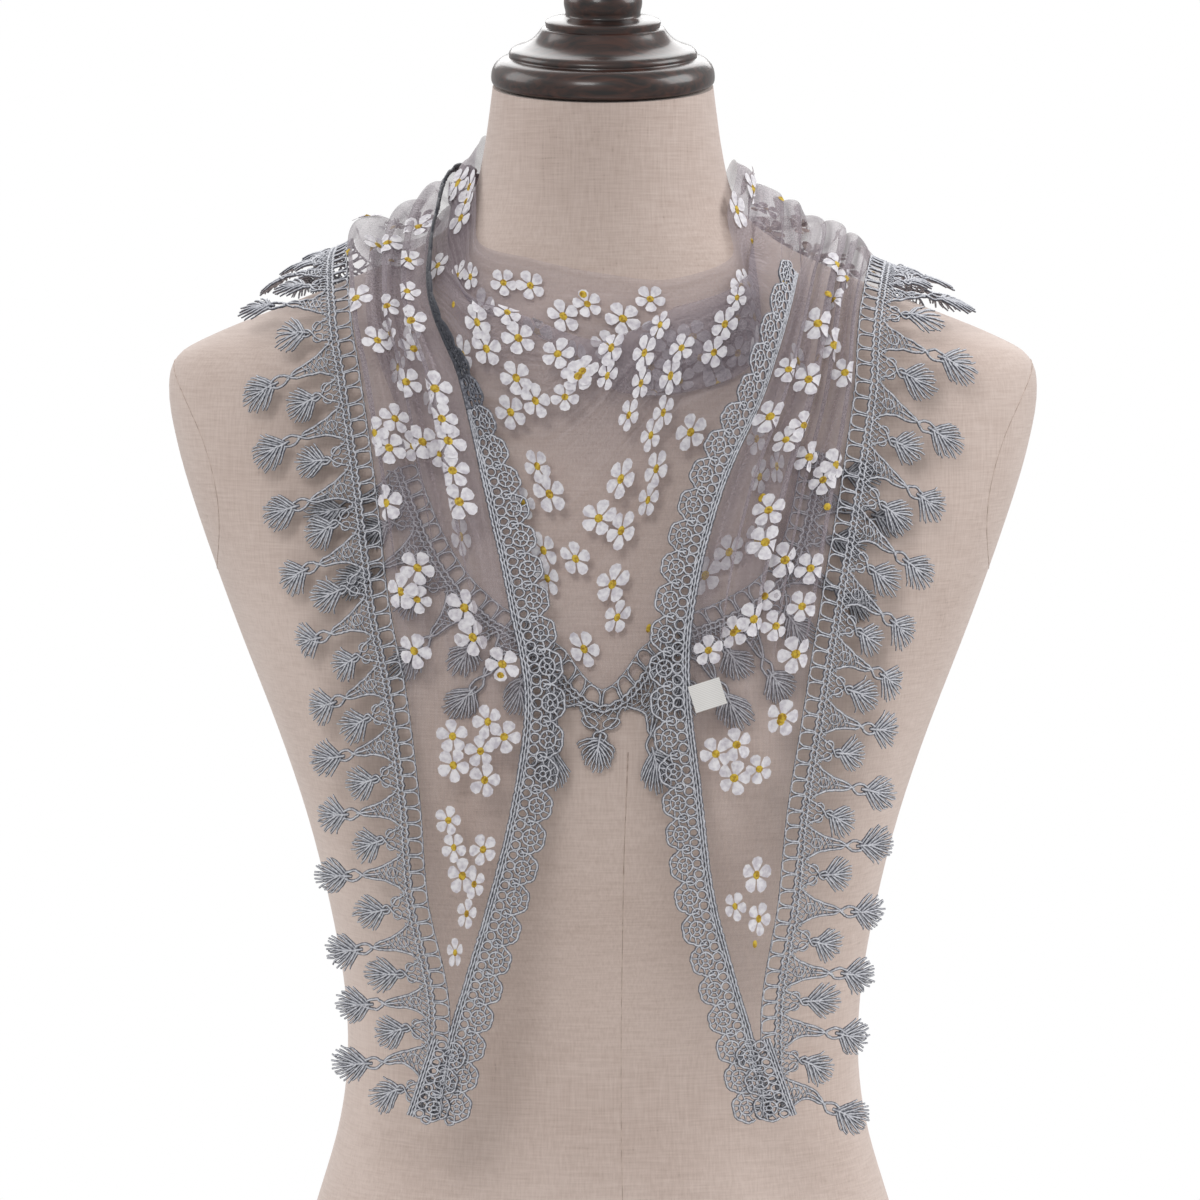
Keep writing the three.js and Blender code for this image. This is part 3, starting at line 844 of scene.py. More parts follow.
class Stretch(NamedTuple):
    """One stretch of the cloth, with the cut of what shows of it."""

    name: str
    first: int
    last: int
    steps_per_row: int
    columns: int
    cut: Pair  # mm, widest and longest
    cut_share: float  # of that rectangle


@dataclass
class ClothGrid:
    """A stretch of cloth as a grid of points."""

    stretch: Stretch
    points: Array
    outs: Array
    along: Array  # mm from the first row at each point
    across: Array  # mm from the hem at each point
    close: Array  # how closely the cloth is drawn up, from 0 to 1

    def sample(self, row: Array, column: Array, stand: Array) -> Array:
        """Points on or just off the cloth.

        Args:
            row: Places along, counted in grid rows.
            column: Places across, counted in grid columns.
            stand: Millimetres off the cloth.

        Returns:
            The points.
        """
        rows, columns = self.points.shape[:2]
        row, column = np.clip(row, 0, rows - INSIDE), np.clip(column, 0, columns - INSIDE)
        off = unit(between(self.outs, row, column)) * np.asarray(stand)[..., None]
        return between(self.points, row, column) + off


@dataclass
class ShawlCloth:
    """The sheer triangle of cloth, from the tip of its left end round the neck to that of its right."""

    form: DressForm
    rows: tuple[Row, ...] = (
        Row((-67.5, 197), (-71.5, 196.5), 5, 5, 0, 0), Row((-59.5, 241), (-64, 242), 6, 6, 0, 0),
        Row((-46.5, 288), (-70.5, 290), 7, 7, 0.5, 6), Row((-36.5, 330), (-73, 330), 9, 8, 1.5, 20),
        Row((-31.5, 371), (-78, 371), 12, 9, 3, 42), Row((-38.5, 410), (-86.5, 411), 13, 9, 4.5, 66),
        Row((-49, 455), (-93, 456), 13, 9, 5.5, 84), Row((-59, 498), (-100, 499), 13, 9, 6, 94),
        Row((-73, 538), (-105, 525), 13, 11, 7, 96), Row((-63, 6, 592), (-104, 6, 549), 13, 16, 8, 88),
        Row((-46, 44, 585), (-92, 62, 538), 11, 10, 5, 78), Row((0, 48, 591), (0, 92, 522), 9, 9, 3.5, 66),
        Row((48, 42, 587), (84, 60, 548), 10, 12, 5, 80), Row((56, 4, 598), (78, 4, 563), 6, 16, 6, 96),
        Row((54, -30, 579), (84, -55, 508), 5, 2.5, 1.8, 70), Row((56, 557), (73, 433), 3, 2, 1.2, 44),
        Row((29.5, 547), (36, 405), 3, 2, 0.8, 24), Row((0, 549), (0, 375), 3, 2, 0.5, 12),
        Row((-29, 555), (-35, 404), 3, 2, 0.8, 24), Row((-54, 563), (-64, 435), 3, 2, 1.4, 48),
        Row((-55, -22, 586), (-88, -58, 500), 3, 2.6, 5, 82), Row((-54, 5, 609), (-102, 5, 549), 3, 3, 8, 84),
        Row((-46, 44, 600), (-90, 64, 530), 2, 2.5, 4, 78), Row((0, 50, 594), (0, 96, 506), 2, 2, 3, 70, 3.2),
        Row((62, 46, 575), (110, 54, 516), 7, 6, 4, 80, 3.5),
        Row((82, 2, 562), (112, 2, 544), 15, 13, 7, 100, 3.8),
        Row((80, 536), (107, 525.5), 15, 11, 7, 100, 4), Row((69, 500), (104, 497), 13, 9, 6, 96, 4),
        Row((49.5, 455), (97, 456), 13, 9, 6, 90, 4), Row((37.5, 410), (88, 411), 13, 9, 5, 70, 4),
        Row((35, 375), (81.5, 377), 12, 9, 3, 44, 4), Row((40, 330), (74, 330), 9, 8, 1.5, 20, 4),
        Row((45.5, 288), (70.5, 290), 7, 7, 0.5, 6, 4), Row((57.5, 241), (66, 243), 6, 6, 0, 0, 4),
        Row((66.5, 197), (70.5, 196.5), 5, 5, 0, 0, 4),
    )
    cowl: tuple[Fold, ...] = (
        Fold(13, 0.3, 0.34, 0, 1.5), Fold(14, 0.2, 0.4, 0.6, 2.5), Fold(15, 0.09, 0.42, 1, 4),
        Fold(16, 0.09, 0.38, 1, 6.5), Fold(17, 0.175, 0.3, 1, 8.5), Fold(17.75, 0.175, 0.235, 1, 7),
        Fold(18.4, 0.18, 0.23, 1, 5.5), Fold(19.2, 0.215, 0.26, 1, 4), Fold(20, 0.28, 0.32, 0.5, 2.5),
        Fold(20.8, 0.3, 0.34, 0, 1),
    )
    stretches: tuple[Stretch, ...] = (
        Stretch("tail_left", 0, 9, 14, 84, (100, 405), 0.5),
        Stretch("wrap_over", 9, 13, 18, 84, (140, 205), 0.7),
        Stretch("bib", 13, 21, 18, 132, (220, 300), 0.6),
        Stretch("wrap_under", 21, 25, 18, 84, (145, 250), 0.7),
        Stretch("tail_right", 25, 34, 14, 84, (110, 385), 0.5),
    )
    # How much closer the cloth lies round the neck, and across the top of the chest
    wound: Table = (
        (7, 0), (9, 0.14), (13.5, 0.12), (15, 0.1), (18.6, 0.1), (20, 0.22), (25.5, 0.2), (27, 0),
    )
    chest: Table = ((12.5, 0), (14, 0.45), (16, 0.38), (18, 0.4), (19.5, 0.6), (21.5, 0))
    chest_top: Triple = (0.6, 0.06, 0.2)  # closeness at the hem, and where it starts to grow and is full
    chest_end: Pair = (0.26, 0.62)  # where it falls off across the cloth
    gathered: Pair = (15, 95)  # degrees of gather between which the cloth closes up
    gather_close: Pair = (0.3, 0.5)  # how much it closes, and how much more on steep sides, where the tulle's darker colour is painted shade
    lean: float = 5.0  # mm that pleats lie over towards the fringed edge
    lean_gather: Pair = (20, 80)  # degrees of gather between which they come to lie over
    lean_foot: float = 0.3  # share of a pleat's height that stays in place
    calm: float = 0.07  # share of the width in which the pleats die out at an edge
    pleat_samples: int = 240
    fold_turn: float = 3.0  # mm in which the cowl's fold turns back
    fold_rounds: int = 10  # times that the fold's corners are eased
    ripple: float = 0.3  # mm by which flat cloth ripples
    ripple_edge: float = 0.1
    least_lift: float = 0.8  # mm off the form
    hem_line: Array = field(init=False, repr=False)
    fringe_line: Array = field(init=False, repr=False)
    numbers: Array = field(init=False, repr=False)

    def __post_init__(self) -> None:
        """Puts the table's points on the form and its numbers in columns."""

        def seated(point: Seat) -> Triple:
            """A point of the table, with its depth."""
            return point if len(point) == 3 else self.form.front(*point)

        self.hem_line = np.array([seated(row.hem) for row in self.rows])
        self.fringe_line = np.array([seated(row.fringe) for row in self.rows])
        self.numbers = np.array([row[2:] for row in self.rows], float)

    def edge_line(self, edge: Edge, row: Array) -> Array:
        """Points of the line that an edge follows before it is set on the form, run on past the tips."""
        line = self.hem_line if edge is Edge.HEM else self.fringe_line
        row = np.asarray(row, float)
        last, probe = len(line) - 1, 0.1
        tip, after_tip, before_end, end = through(line, np.array([0, probe, last - probe, last]))
        before, after = np.minimum(row, 0)[..., None], np.maximum(row - last, 0)[..., None]
        run_back, run_on = before * (after_tip - tip) / probe, after * (end - before_end) / probe
        return through(line, row) + run_back + run_on

    def lift(self, edge: Edge, row: Array) -> Array:
        """How far off the form an edge lies."""
        return through(self.numbers, row)[..., edge.value]

    @staticmethod
    def away_from_edges(share: Array, margin: float) -> Array:
        """From 0 at both edges of the cloth to 1 past a margin, which is a share of the width."""
        return smoothstep(share, 0, margin) * smoothstep(1 - share, 0, margin)

    def pleated(self, row: Array, width: Array, samples: int) -> tuple[Array, Array]:
        """The pleats across the cloth: a winding line, drawn up and leaned over.

        Args:
            row: Rows, one for each section.
            width: Millimetres from hem to fringed edge at each.
            samples: Points across.

        Returns:
            Shares of the way across, and lifts off the form.
        """
        columns = through(self.numbers, row).T[..., None]
        hem_lift, fringe_lift, pleat, gather, folds = columns
        share = np.linspace(0, 1, samples)
        wide_wave = np.sin(2 * math.pi * share + 0.5 * row[:, None])
        close_wave = np.sin(5 * math.pi * share - 0.35 * row[:, None])
        calm = self.away_from_edges(share, self.calm)
        winding = np.sin(2 * math.pi * (folds * share + (0.13 * wide_wave + 0.08 * close_wave)))
        turn = np.radians(np.maximum(gather, 0)) * winding * calm
        across = np.cumsum(np.cos(turn), 1)
        rise = np.cumsum(np.sin(turn), 1)
        across = (across - across[:, :1]) / (across[:, -1:] - across[:, :1])
        rise = rise - rise[:, :1] - (rise[:, -1:] - rise[:, :1]) * share
        rise = rise - rise.min(1, keepdims=True) * calm
        rise = rise / np.maximum(rise.max(1, keepdims=True), TINY)
        leaning = self.lean * smoothstep(gather, *self.lean_gather)
        tilt = leaning * (rise - self.lean_foot) * calm / width[:, None]
        lift = hem_lift + (fringe_lift - hem_lift) * np.clip(across, 0, 1) + np.maximum(pleat, 0) * rise
        return across + tilt, lift

    def cowled(self, row: Array, width: Array, samples: int) -> tuple[Array, Array, Array]:
        """The deep fold across the chest, which opens upwards.

        Args:
            row: Rows, one for each section.
            width: Millimetres from hem to fringed edge at each.
            samples: Points across.

        Returns:
            Shares of the way across, lifts off the form, and how far the fold has formed at each row.
        """
        table = np.array(self.cowl)
        upper, lower, formed, depth = (np.interp(row, table[:, 0], table[:, k]) for k in range(1, 5))
        none, turn, below = np.zeros_like(row), self.fold_turn / width, 1 - upper
        # Knots of the folded section: place across, least lift and share of the fold's depth
        knots = (
            (none, 3, 0), (lower * 0.5, 2.2, 0), (lower - turn, 2, 0), (lower, 2, 0.2),
            (lower - turn, 2, 0.36), (upper + turn, 2, 0.56), (upper, 2, 0.8), (upper + turn, 2, 1),
            (upper + below * 0.2, 2.4, 1.1), (upper + below * 0.5, 2, 0.7), (upper + below * 0.8, 2, 0.25),
            (none + 1, 2, 0),
        )
        places = np.stack([place for place, _, _ in knots], -1)
        lifts = np.stack([least + depth * share for _, least, share in knots], -1)
        across, lift = self.even_out(places, lifts, width, samples)
        for _ in range(self.fold_rounds):
            for line in (across, lift):
                line[:, 1:-1] = (line[:, :-2] + 2 * line[:, 1:-1] + line[:, 2:]) / 4
        return across, lift, smoothstep(formed, 0, 1)

    @staticmethod
    def even_out(across: Array, lift: Array, width: Array, samples: int) -> tuple[Array, Array]:
        """Spaces a section's points evenly along its own length.

        Args:
            across: Shares of the way across.
            lift: Lifts off the form.
            width: Millimetres from hem to fringed edge.
            samples: Points wanted.

        Returns:
            Shares and lifts at the new points.
        """
        curves = np.stack([across * width[:, None], lift], -1)
        share = np.linspace(0, 1, samples)
        even = []
        for line, length in zip(curves, distance(curves, 1)):
            even.append([np.interp(share * length[-1], length, column) for column in line.T])
        even = np.array(even)
        return even[:, 0] / width[:, None], even[:, 1]

    def grid(self, stretch: Stretch) -> ClothGrid:
        """Works out a stretch of the cloth.

        Args:
            stretch: Which stretch.

        Returns:
            Its grid of points.
        """
        steps = (stretch.last - stretch.first) * stretch.steps_per_row
        row = np.linspace(stretch.first, stretch.last, steps + 1)
        hem, fringe = self.edge_line(Edge.HEM, row), self.edge_line(Edge.FRINGE, row)
        width = norm(fringe - hem, axis=-1)
        across, lift = self.even_out(*self.pleated(row, width, self.pleat_samples), width, stretch.columns)
        deep_across, deep_lift, formed = self.cowled(row, width, stretch.columns)
        across = across + (deep_across - across) * formed[:, None]
        lift = lift + (deep_lift - lift) * formed[:, None]
        share = np.linspace(0, 1, stretch.columns)
        ripple = np.sin(2.1 * row[:, None] + 17 * share) * np.sin(9 * share - 1.3 * row[:, None] + 1)
        lift = lift + self.ripple * ripple * self.away_from_edges(share, self.ripple_edge)
        flat = hem[:, None] + (fringe - hem)[:, None] * across[..., None]
        place, out = self.form.settle(flat)
        points = place + out * np.maximum(lift, self.least_lift)[..., None]
        sideways = np.gradient(points, axis=1)
        outs = unit(np.cross(np.gradient(points, axis=0), sideways))
        steep = np.abs(np.gradient(lift, axis=1)) / norm(sideways, axis=-1).clip(TINY)
        close = self.closeness(row, across, steep)
        return ClothGrid(stretch, points, outs, distance(points, 0), distance(points, 1), close)

    def closeness(self, row: Array, across: Array, steep: Array) -> Array:
        """How closely the cloth is drawn up: in the pleats, round the neck and at the top of the cowl.

        Args:
            row: Rows, one for each section.
            across: Shares of the way across at each point.
            steep: How steeply the cloth stands off the form at each point.

        Returns:
            Closeness at each point, from 0 to 1.
        """
        gather = smoothstep(through(self.numbers, row)[..., 3], *self.gathered)[:, None]
        wound = read_off(self.wound, row)[:, None]
        at_hem, start, full = self.chest_top
        chest = read_off(self.chest, row)[:, None] * (at_hem + (1 - at_hem) * smoothstep(across, start, full))
        chest = chest * (1 - smoothstep(across, *self.chest_end))
        # the steep-side share darkens the tulle as painted shade in the pleats, as well as making it hide
        # more
        flat, more = self.gather_close
        return np.clip(gather * (flat + more * steep) + wound + chest, 0, 1)

    def build(self, grids: list[ClothGrid]) -> list[Piece]:
        """Makes the sheets.

        Args:
            grids: The stretches' grids.

        Returns:
            The sheets, in the same order.
        """
        tulle = SheerTulle().make()
        sheets = []
        for grid in grids:
            name = grid.stretch.name
            uvs = np.stack([grid.along, grid.across], -1).reshape(-1, 2)
            shape = grid.points.reshape(-1, 3), grid_faces(*grid.points.shape[:2])
            sheet = mesh_piece(f"tulle_{name}", shape, [tulle], uvs)
            write_attribute(sheet, "drawn", grid.close)
            sheets.append(settle_piece(sheet, "net", name))
        return sheets


def lace_piece(
    name: str, parts: list[Faces], thread: Material, spread: Optional[list[Array]] = None
) -> Piece:
    """Joins threads into a piece of lace, each thread's corners given a painted highlight on top and painted
    shade on its sides.

    Args:
        name: The solid that the piece stands for.
        parts: Tubes.
        thread: Their material.
        spread: How far the lace lies open at each point, where some of it curls into a roll; it dims the
            painted top highlight, so lace in a roll is painted in shade.

    Returns:
        The lace.
    """
    piece = mesh_piece(f"lace_{name}", join_parts(parts), [thread])
    # painted light round each thread, corner by corner: side, top, side, underside; the top is painted lit,
    # the sides painted in shade
    painted_light_around_thread = np.array([0.1, 1, 0.1, 0.75], np.float32)
    values = np.tile(painted_light_around_thread, len(piece.data.vertices) // len(painted_light_around_thread))
    if spread is not None:
        values = values * np.concatenate(spread).astype(np.float32)
    write_attribute(piece, "painted_ridge_light", values)
    return settle_piece(piece, "lace", name)


class Threads(NamedTuple):
    """Threads of one kind in a step of lace: paths in millimetres along, out and up, all of one length."""

    paths: Array
    radius: float
    closed: bool = False
    tip: float = 1.0
    swings: bool = False  # turns with the leaf's head


def ring(middle: Pair, radii: Pair, count: int = 12) -> Array:
    """A whole ellipse in the lace's middle plane, given along and out."""
    turn = np.radians(np.linspace(0, 360, count + 1))[:-1]
    x, y = middle[0] + radii[0] * np.sin(turn), middle[1] + radii[1] * np.cos(turn)
    return np.stack([x, y, np.zeros(count)], -1)


def lines(starts: Array, ends: Array, count: int, rise: float = 0.0) -> Array:
    """Straight threads between two lists of points, bowed up by a rise."""
    u = np.linspace(0, 1, count)[None, :, None]
    flat = np.asarray(starts, float)[:, None] * (1 - u) + np.asarray(ends, float)[:, None] * u
    return np.concatenate([flat, rise * np.sin(math.pi * u) * np.ones((len(flat), 1, 1))], -1)


@dataclass
class LaceGround:
    """Where lace lies: steps along an edge of the cloth, each with a small grid of points over the form."""

    cloth: ShawlCloth
    edge: Edge
    rows: Array  # rows of the shawl at the ends of the steps
    step: float
    reach: float
    tip_lift: Table  # lift of the lace's outer edge
    turn_up: Table = ((0, 0),)  # degrees by which it stands off
    sweep: Table = ((0, 0),)  # degrees by which leaves lean along
    inset: Table = ((0, 0),)  # mm that it lies over the cloth
    curl: Table = ((0, 1),)  # share of its width left where it curls up
    leaf_from: float = 10.0  # mm out at which leaves start to keep their own shape
    leaf_to: float = 26.0
    free: float = 50.0  # mm of height in which it comes free of the form
    straight: float = 0.7  # how nearly straight it then stands out
    along_shares: Array = field(default_factory=lambda: np.linspace(-0.75, 1.75, 11))
    out_steps: int = 15
    spare: float = 3.0  # mm of grid past its reach
    over_cloth: float = 0.9  # mm off the cloth where it lies on it
    over_inset: float = 0.22  # mm off the cloth for each mm of inset, where that is more
    past_tip: float = 1.1  # share of the reach at which its lift ends

    def seats(self, row: Array) -> tuple[Array, Array, Array, Array]:
        """Where the lace is sewn on.

        Args:
            row: Rows of the shawl.

        Returns:
            Points on the form below, ways off the cloth, ways along it, and lifts.
        """
        other = Edge.FRINGE if self.edge is Edge.HEM else Edge.HEM
        probe = 0.02
        own = self.cloth.edge_line(self.edge, row)
        place, out = self.cloth.form.settle(own)
        along = self.cloth.edge_line(self.edge, row + probe) - self.cloth.edge_line(self.edge, row - probe)
        away = unit(np.cross(along, out))
        wrong = ((own - self.cloth.edge_line(other, row)) * away).sum(-1, keepdims=True) < 0
        return place, np.where(wrong, -away, away), unit(along), self.cloth.lift(self.edge, row)

    def grid_rows(self) -> Array:
        """Rows of the shawl at the places along every step's grid, which reach past the step at both ends."""
        count = len(self.rows) - 1
        index = np.arange(count)[:, None] + self.along_shares[None, :]
        row = np.interp(index, np.arange(count + 1), self.rows)
        row = row + np.minimum(index, 0) * (self.rows[1] - self.rows[0])
        return row + np.maximum(index - count, 0) * (self.rows[-1] - self.rows[-2])

    def leaf_grid(self, out: Array) -> Array:
        """Points of every step's grid as a flat leaf that keeps its own shape, swept along the edge.

        Args:
            out: Millimetres out at the grid's points.

        Returns:
            The points, before they are set on the form.
        """
        count = len(self.rows) - 1
        middle = np.interp(np.arange(count) + 0.5, np.arange(count + 1), self.rows)
        place, away, along, _ = self.seats(middle)
        wide = ((self.along_shares - 0.5) * self.step)[None, None, :, None]
        sweep = np.radians(read_off(self.sweep, middle))[:, None]
        ahead = (away * np.cos(sweep) + along * np.sin(sweep))[:, None, None]
        aside = (along * np.cos(sweep) - away * np.sin(sweep))[:, None, None]
        root = (place + away * self.leaf_from)[:, None, None]
        return root + ahead * (out[..., None] - self.leaf_from) + aside * wide

    def grids(self) -> tuple[Array, Array]:
        """Works out every step's grid.

        Returns:
            Points and ways out: step, out, along.
        """
        row = self.grid_rows()
        tables = (self.inset, self.curl, self.tip_lift, self.turn_up)
        inset, curl, tip, turn_up = (read_off(table, row)[:, None, :] for table in tables)
        turn = np.radians(turn_up)
        out_mm = np.linspace(0, self.reach + self.spare, self.out_steps)[None, :, None] * curl - inset
        flat_out = out_mm * np.cos(turn)
        place, away, _, lift = self.seats(row)
        band = place[:, None] + away[:, None] * flat_out[..., None]
        hanging = smoothstep(out_mm, self.leaf_from, self.leaf_to)[..., None]
        flat = band + (self.leaf_grid(flat_out) - band) * hanging
        settled, out = self.cloth.form.settle(flat)
        below = self.cloth.form.hang_height - flat[..., 2]
        loose = smoothstep(below, -self.free, self.free)[..., None]
        lifts = lift[:, None] + (tip - lift[:, None]) * np.clip(out_mm / self.reach, 0, self.past_tip)
        on_cloth = np.maximum(self.over_cloth, self.over_inset * inset) * smoothstep(-out_mm, -1, 1)
        lifts = lifts + np.maximum(out_mm, 0) * np.sin(turn) + on_cloth
        points = settled + (flat - settled) * self.straight * loose + out * lifts[..., None]
        normals = unit(np.cross(np.gradient(points, axis=2), np.gradient(points, axis=1)))
        return points, normals * np.sign((normals * out).sum(-1, keepdims=True))

    def carry(self, grids: tuple[Array, Array], steps: Array, threads: Threads) -> Faces:
        """Lays threads on the steps' grids.

        Args:
            grids: Points and ways out.
            steps: Step numbers.
            threads: Threads, with paths for each step, along from its middle.

        Returns:
            Their tubes.
        """
        points, outs = grids
        paths = threads.paths
        first, gap = self.along_shares[0], self.along_shares[1] - self.along_shares[0]
        across = (paths[..., 0] / self.step + 0.5 - first) / gap
        out = paths[..., 1] / (self.reach + self.spare) * (self.out_steps - 1)
        across = np.clip(across, 0, len(self.along_shares) - INSIDE)
        out = np.clip(out, 0, self.out_steps - INSIDE)
        which = steps.reshape(-1, *([1] * (paths.ndim - 2)))
        way = unit(between(outs, out, across, which))
        laid = between(points, out, across, which) + way * paths[..., 2:]
        return thread_tubes(laid, way, threads.radius, threads.closed, threads.tip)


@dataclass
class WideLace:
    """The wide lace of the two short edges: a ladder, a close band, then long and short leaves in turn."""

    step: float = 14.0
    ladder: float = 7.2  # mm from the sewn edge to the end of the ladder
    band: float = 12.6  # mm from the sewn edge to the end of the close band
    reach: float = 54.0
    loop: float = 3.15  # half the width of a ladder's loop
    loop_square: float = 0.6  # how square the loops are: 1 is round
    net_slant: float = 3.2  # mm along that the band's net threads run
    finger_spread: float = 98.0  # degrees to each side of a leaf's rib
    long_pivot: float = 36.0  # mm out at which a long leaf's head turns
    short_pivot: float = 19.4
    shake: float = 0.08  # mm by which stitches stray
    tip_shake: float = 0.5
    swing: float = 7.0  # degrees by which heads turn
    uneven: float = 0.05  # share by which heads differ in length
    head_curl: float = 0.1  # mm that heads stand up for each mm out
    seed: int = 7

    def heading(self) -> list[Threads]:
        """The ladder of round loops and the close band, the same for every step.

        Returns:
            Its threads.
        """
        half = self.step / 2
        turn = np.linspace(0, math.pi, 13)
        aside = self.loop * np.sign(np.cos(turn)) * np.abs(np.cos(turn)) ** self.loop_square
        out = self.ladder - (self.ladder - 0.7) * np.sin(turn) ** self.loop_square
        loops = [np.stack([middle + aside, out, 0 * out], -1) for middle in (-half / 2, half / 2)]
        x = np.linspace(-half, half, 17)
        wave = np.sin(2 * math.pi * x / (self.step / 4))
        braid = []
        for y, size in ((self.ladder + 0.2, 0.3), (self.ladder + 2.5, -0.3)):
            braid.append(np.stack([x, y + size * wave, 0.5 * size * wave], -1))
        count, slant = 6, self.net_slant
        places = -half + self.step / count * np.arange(count)
        low, high = np.full(count, self.ladder + 0.4), np.full(count, self.band + 0.2)
        net = []
        for start, shift, rise in ((places, slant, 0.3), (places + slant, -slant, -0.3)):
            net.append(lines(np.stack([start, low], -1), np.stack([start + shift, high], -1), 4, rise))
        edge = np.stack([x, np.full_like(x, 0.6), 0 * x], -1)[None]
        return [
            Threads(np.array(loops), 0.58), Threads(np.array(braid), 0.72),
            Threads(np.vstack(net), 0.36), Threads(edge, 0.34),
        ]

    def fan(self, base: float, length: float, half_width: float, fingers: int) -> list[Threads]:
        """A leaf's head: fingers of thread that leave its rib on both sides and sweep forward.

        Args:
            base: How far out the fingers start.
            length: From there to the tip.
            half_width: Half the head's width.
            fingers: How many there are.

        Returns:
            Its threads.
        """
        angles = np.radians(np.linspace(-self.finger_spread, self.finger_spread, fingers))
        tips = np.stack([half_width * np.sin(angles), base + length * (0.5 + 0.5 * np.cos(angles))], -1)
        roots = base + length * (0.55 * (np.cos(angles) + 1) / 2 - 0.22)
        u = np.linspace(0, 1, 6)[None, :]
        x = tips[:, :1] * (1 - (1 - u) ** 1.25)
        y = roots[:, None] + (tips[:, 1:] - roots[:, None]) * u
        weave = np.where(np.arange(fingers) % 2, 0.35, -0.35)[:, None]
        paths = np.stack([x, y, 0.6 * np.sin(math.pi * u) + weave], -1)
        rib = lines([(0, base - 1.5)], [(0, base + length * 0.55)], 5, 0.8)
        return [Threads(paths, 0.82, tip=0.5, swings=True), Threads(rib, 0.8, swings=True)]

    @staticmethod
    def twisted(knots: list[Pair], count: int) -> tuple[Array, Array]:
        """Two cords that mirror and cross each other.

        Args:
            knots: Places of one of them, along and out.
            count: Points on it.

        Returns:
            Its flat line, and both cords' paths.
        """
        cord = through(np.array(knots), np.linspace(0, len(knots) - 1, count))
        x, y = cord.T
        return cord, np.array([np.stack([side * x, y, side * 0.3 * np.sin(y)], -1) for side in (-1, 1)])

    def long_leaf(self) -> list[Threads]:
        """A net wedge, a twisted stem, a long open eye and a large head.

        Returns:
            Its threads.
        """
        wedge = [(6.8, 11.6), (4.5, 15.5), (2.7, 20), (1.9, 24.5)]
        stem = [(1, 28), (-1, 31), (-2.2, 33.6), (-1.6, 37), (0, 40)]
        cord, cords = self.twisted(wedge + stem, 25)
        width, out = cord[:14].T
        low = np.arange(self.band - 0.4, 22, 2.05)
        high = low + 3.6
        net = []
        for side in (-1, 1):
            roots = np.stack([-side * np.interp(low, out, width), low], -1)
            net.append(lines(roots, np.stack([side * np.interp(high, out, width), high], -1), 3, 0.3 * side))
        return [
            Threads(cords, 0.7),
            Threads(np.vstack(net), 0.36),
            Threads(lines([(0, 21)], [(0, 31)], 6, 0.5), 0.6),
            Threads(ring((0, 15.4), (2.2, 2.5), 12)[None], 0.5, closed=True),
            *self.fan(36.4, 17.2, 7.6, 17),
        ]

    def short_leaf(self) -> list[Threads]:
        """Two arcs from the band that meet at a round eye, and a small head.

        Returns:
            Its threads.
        """
        knots = [(4.4, self.band - 0.8), (3.2, 15), (1.2, 17), (-0.9, 18.6), (-1.6, 20.4), (-0.6, 22.6)]
        _, cords = self.twisted(knots, 16)
        u = np.linspace(0, 1, 8)
        out = self.band - 0.6 - 1.2 * np.sin(u * math.pi)
        rim = np.array([np.stack([side * (7 - 2.6 * u), out, 0 * u], -1) for side in (-1, 1)])
        curls = np.array([ring((side * 2.5, 15.2), (1.9, 2.1), 10) for side in (-1, 1)])
        return [
            Threads(cords, 0.66), Threads(rim, 0.5), Threads(curls, 0.5, closed=True),
            *self.fan(20.4, 15.2, 7.2, 15),
        ]

    def build(self, name: str, ground: LaceGround, thread: Material) -> Piece:
        """Lays the lace along an edge.

        Args:
            name: The solid that it stands for.
            ground: Where it lies.
            thread: Its material.

        Returns:
            The lace, as one piece.
        """
        grids = ground.grids()
        chance = np.random.default_rng(self.seed + len(ground.rows))
        steps = np.arange(len(ground.rows) - 1)
        kinds = (
            (self.heading(), 0.0, steps),
            (self.short_leaf(), self.short_pivot, steps[::2]),
            (self.long_leaf(), self.long_pivot, steps[1::2]),
        )
        parts = []
        for groups, pivot, which in kinds:
            swing = np.radians(chance.normal(0, self.swing, len(which)))[:, None, None]
            stretch = chance.normal(1, self.uneven, len(which))[:, None, None]
            curl = chance.normal(0, self.head_curl, len(which))[:, None, None]
            for group in groups:
                paths = np.repeat(group.paths[None], len(which), 0)
                paths[..., :2] += chance.normal(0, self.shake, paths[..., :2].shape)
                tips = paths[:, :, -1, :2]
                tips += chance.normal(0, self.tip_shake, tips.shape) * (group.tip < 1)
                if group.swings:
                    x, y = paths[..., 0], (paths[..., 1] - pivot) * stretch
                    cos, sin = np.cos(swing), np.sin(swing)
                    up = paths[..., 2] + curl * np.maximum(y, 0)
                    paths = np.stack([x * cos + y * sin, pivot - x * sin + y * cos, up], -1)
                parts.append(ground.carry(grids, which, group._replace(paths=paths)))
        return lace_piece(name, parts, thread)


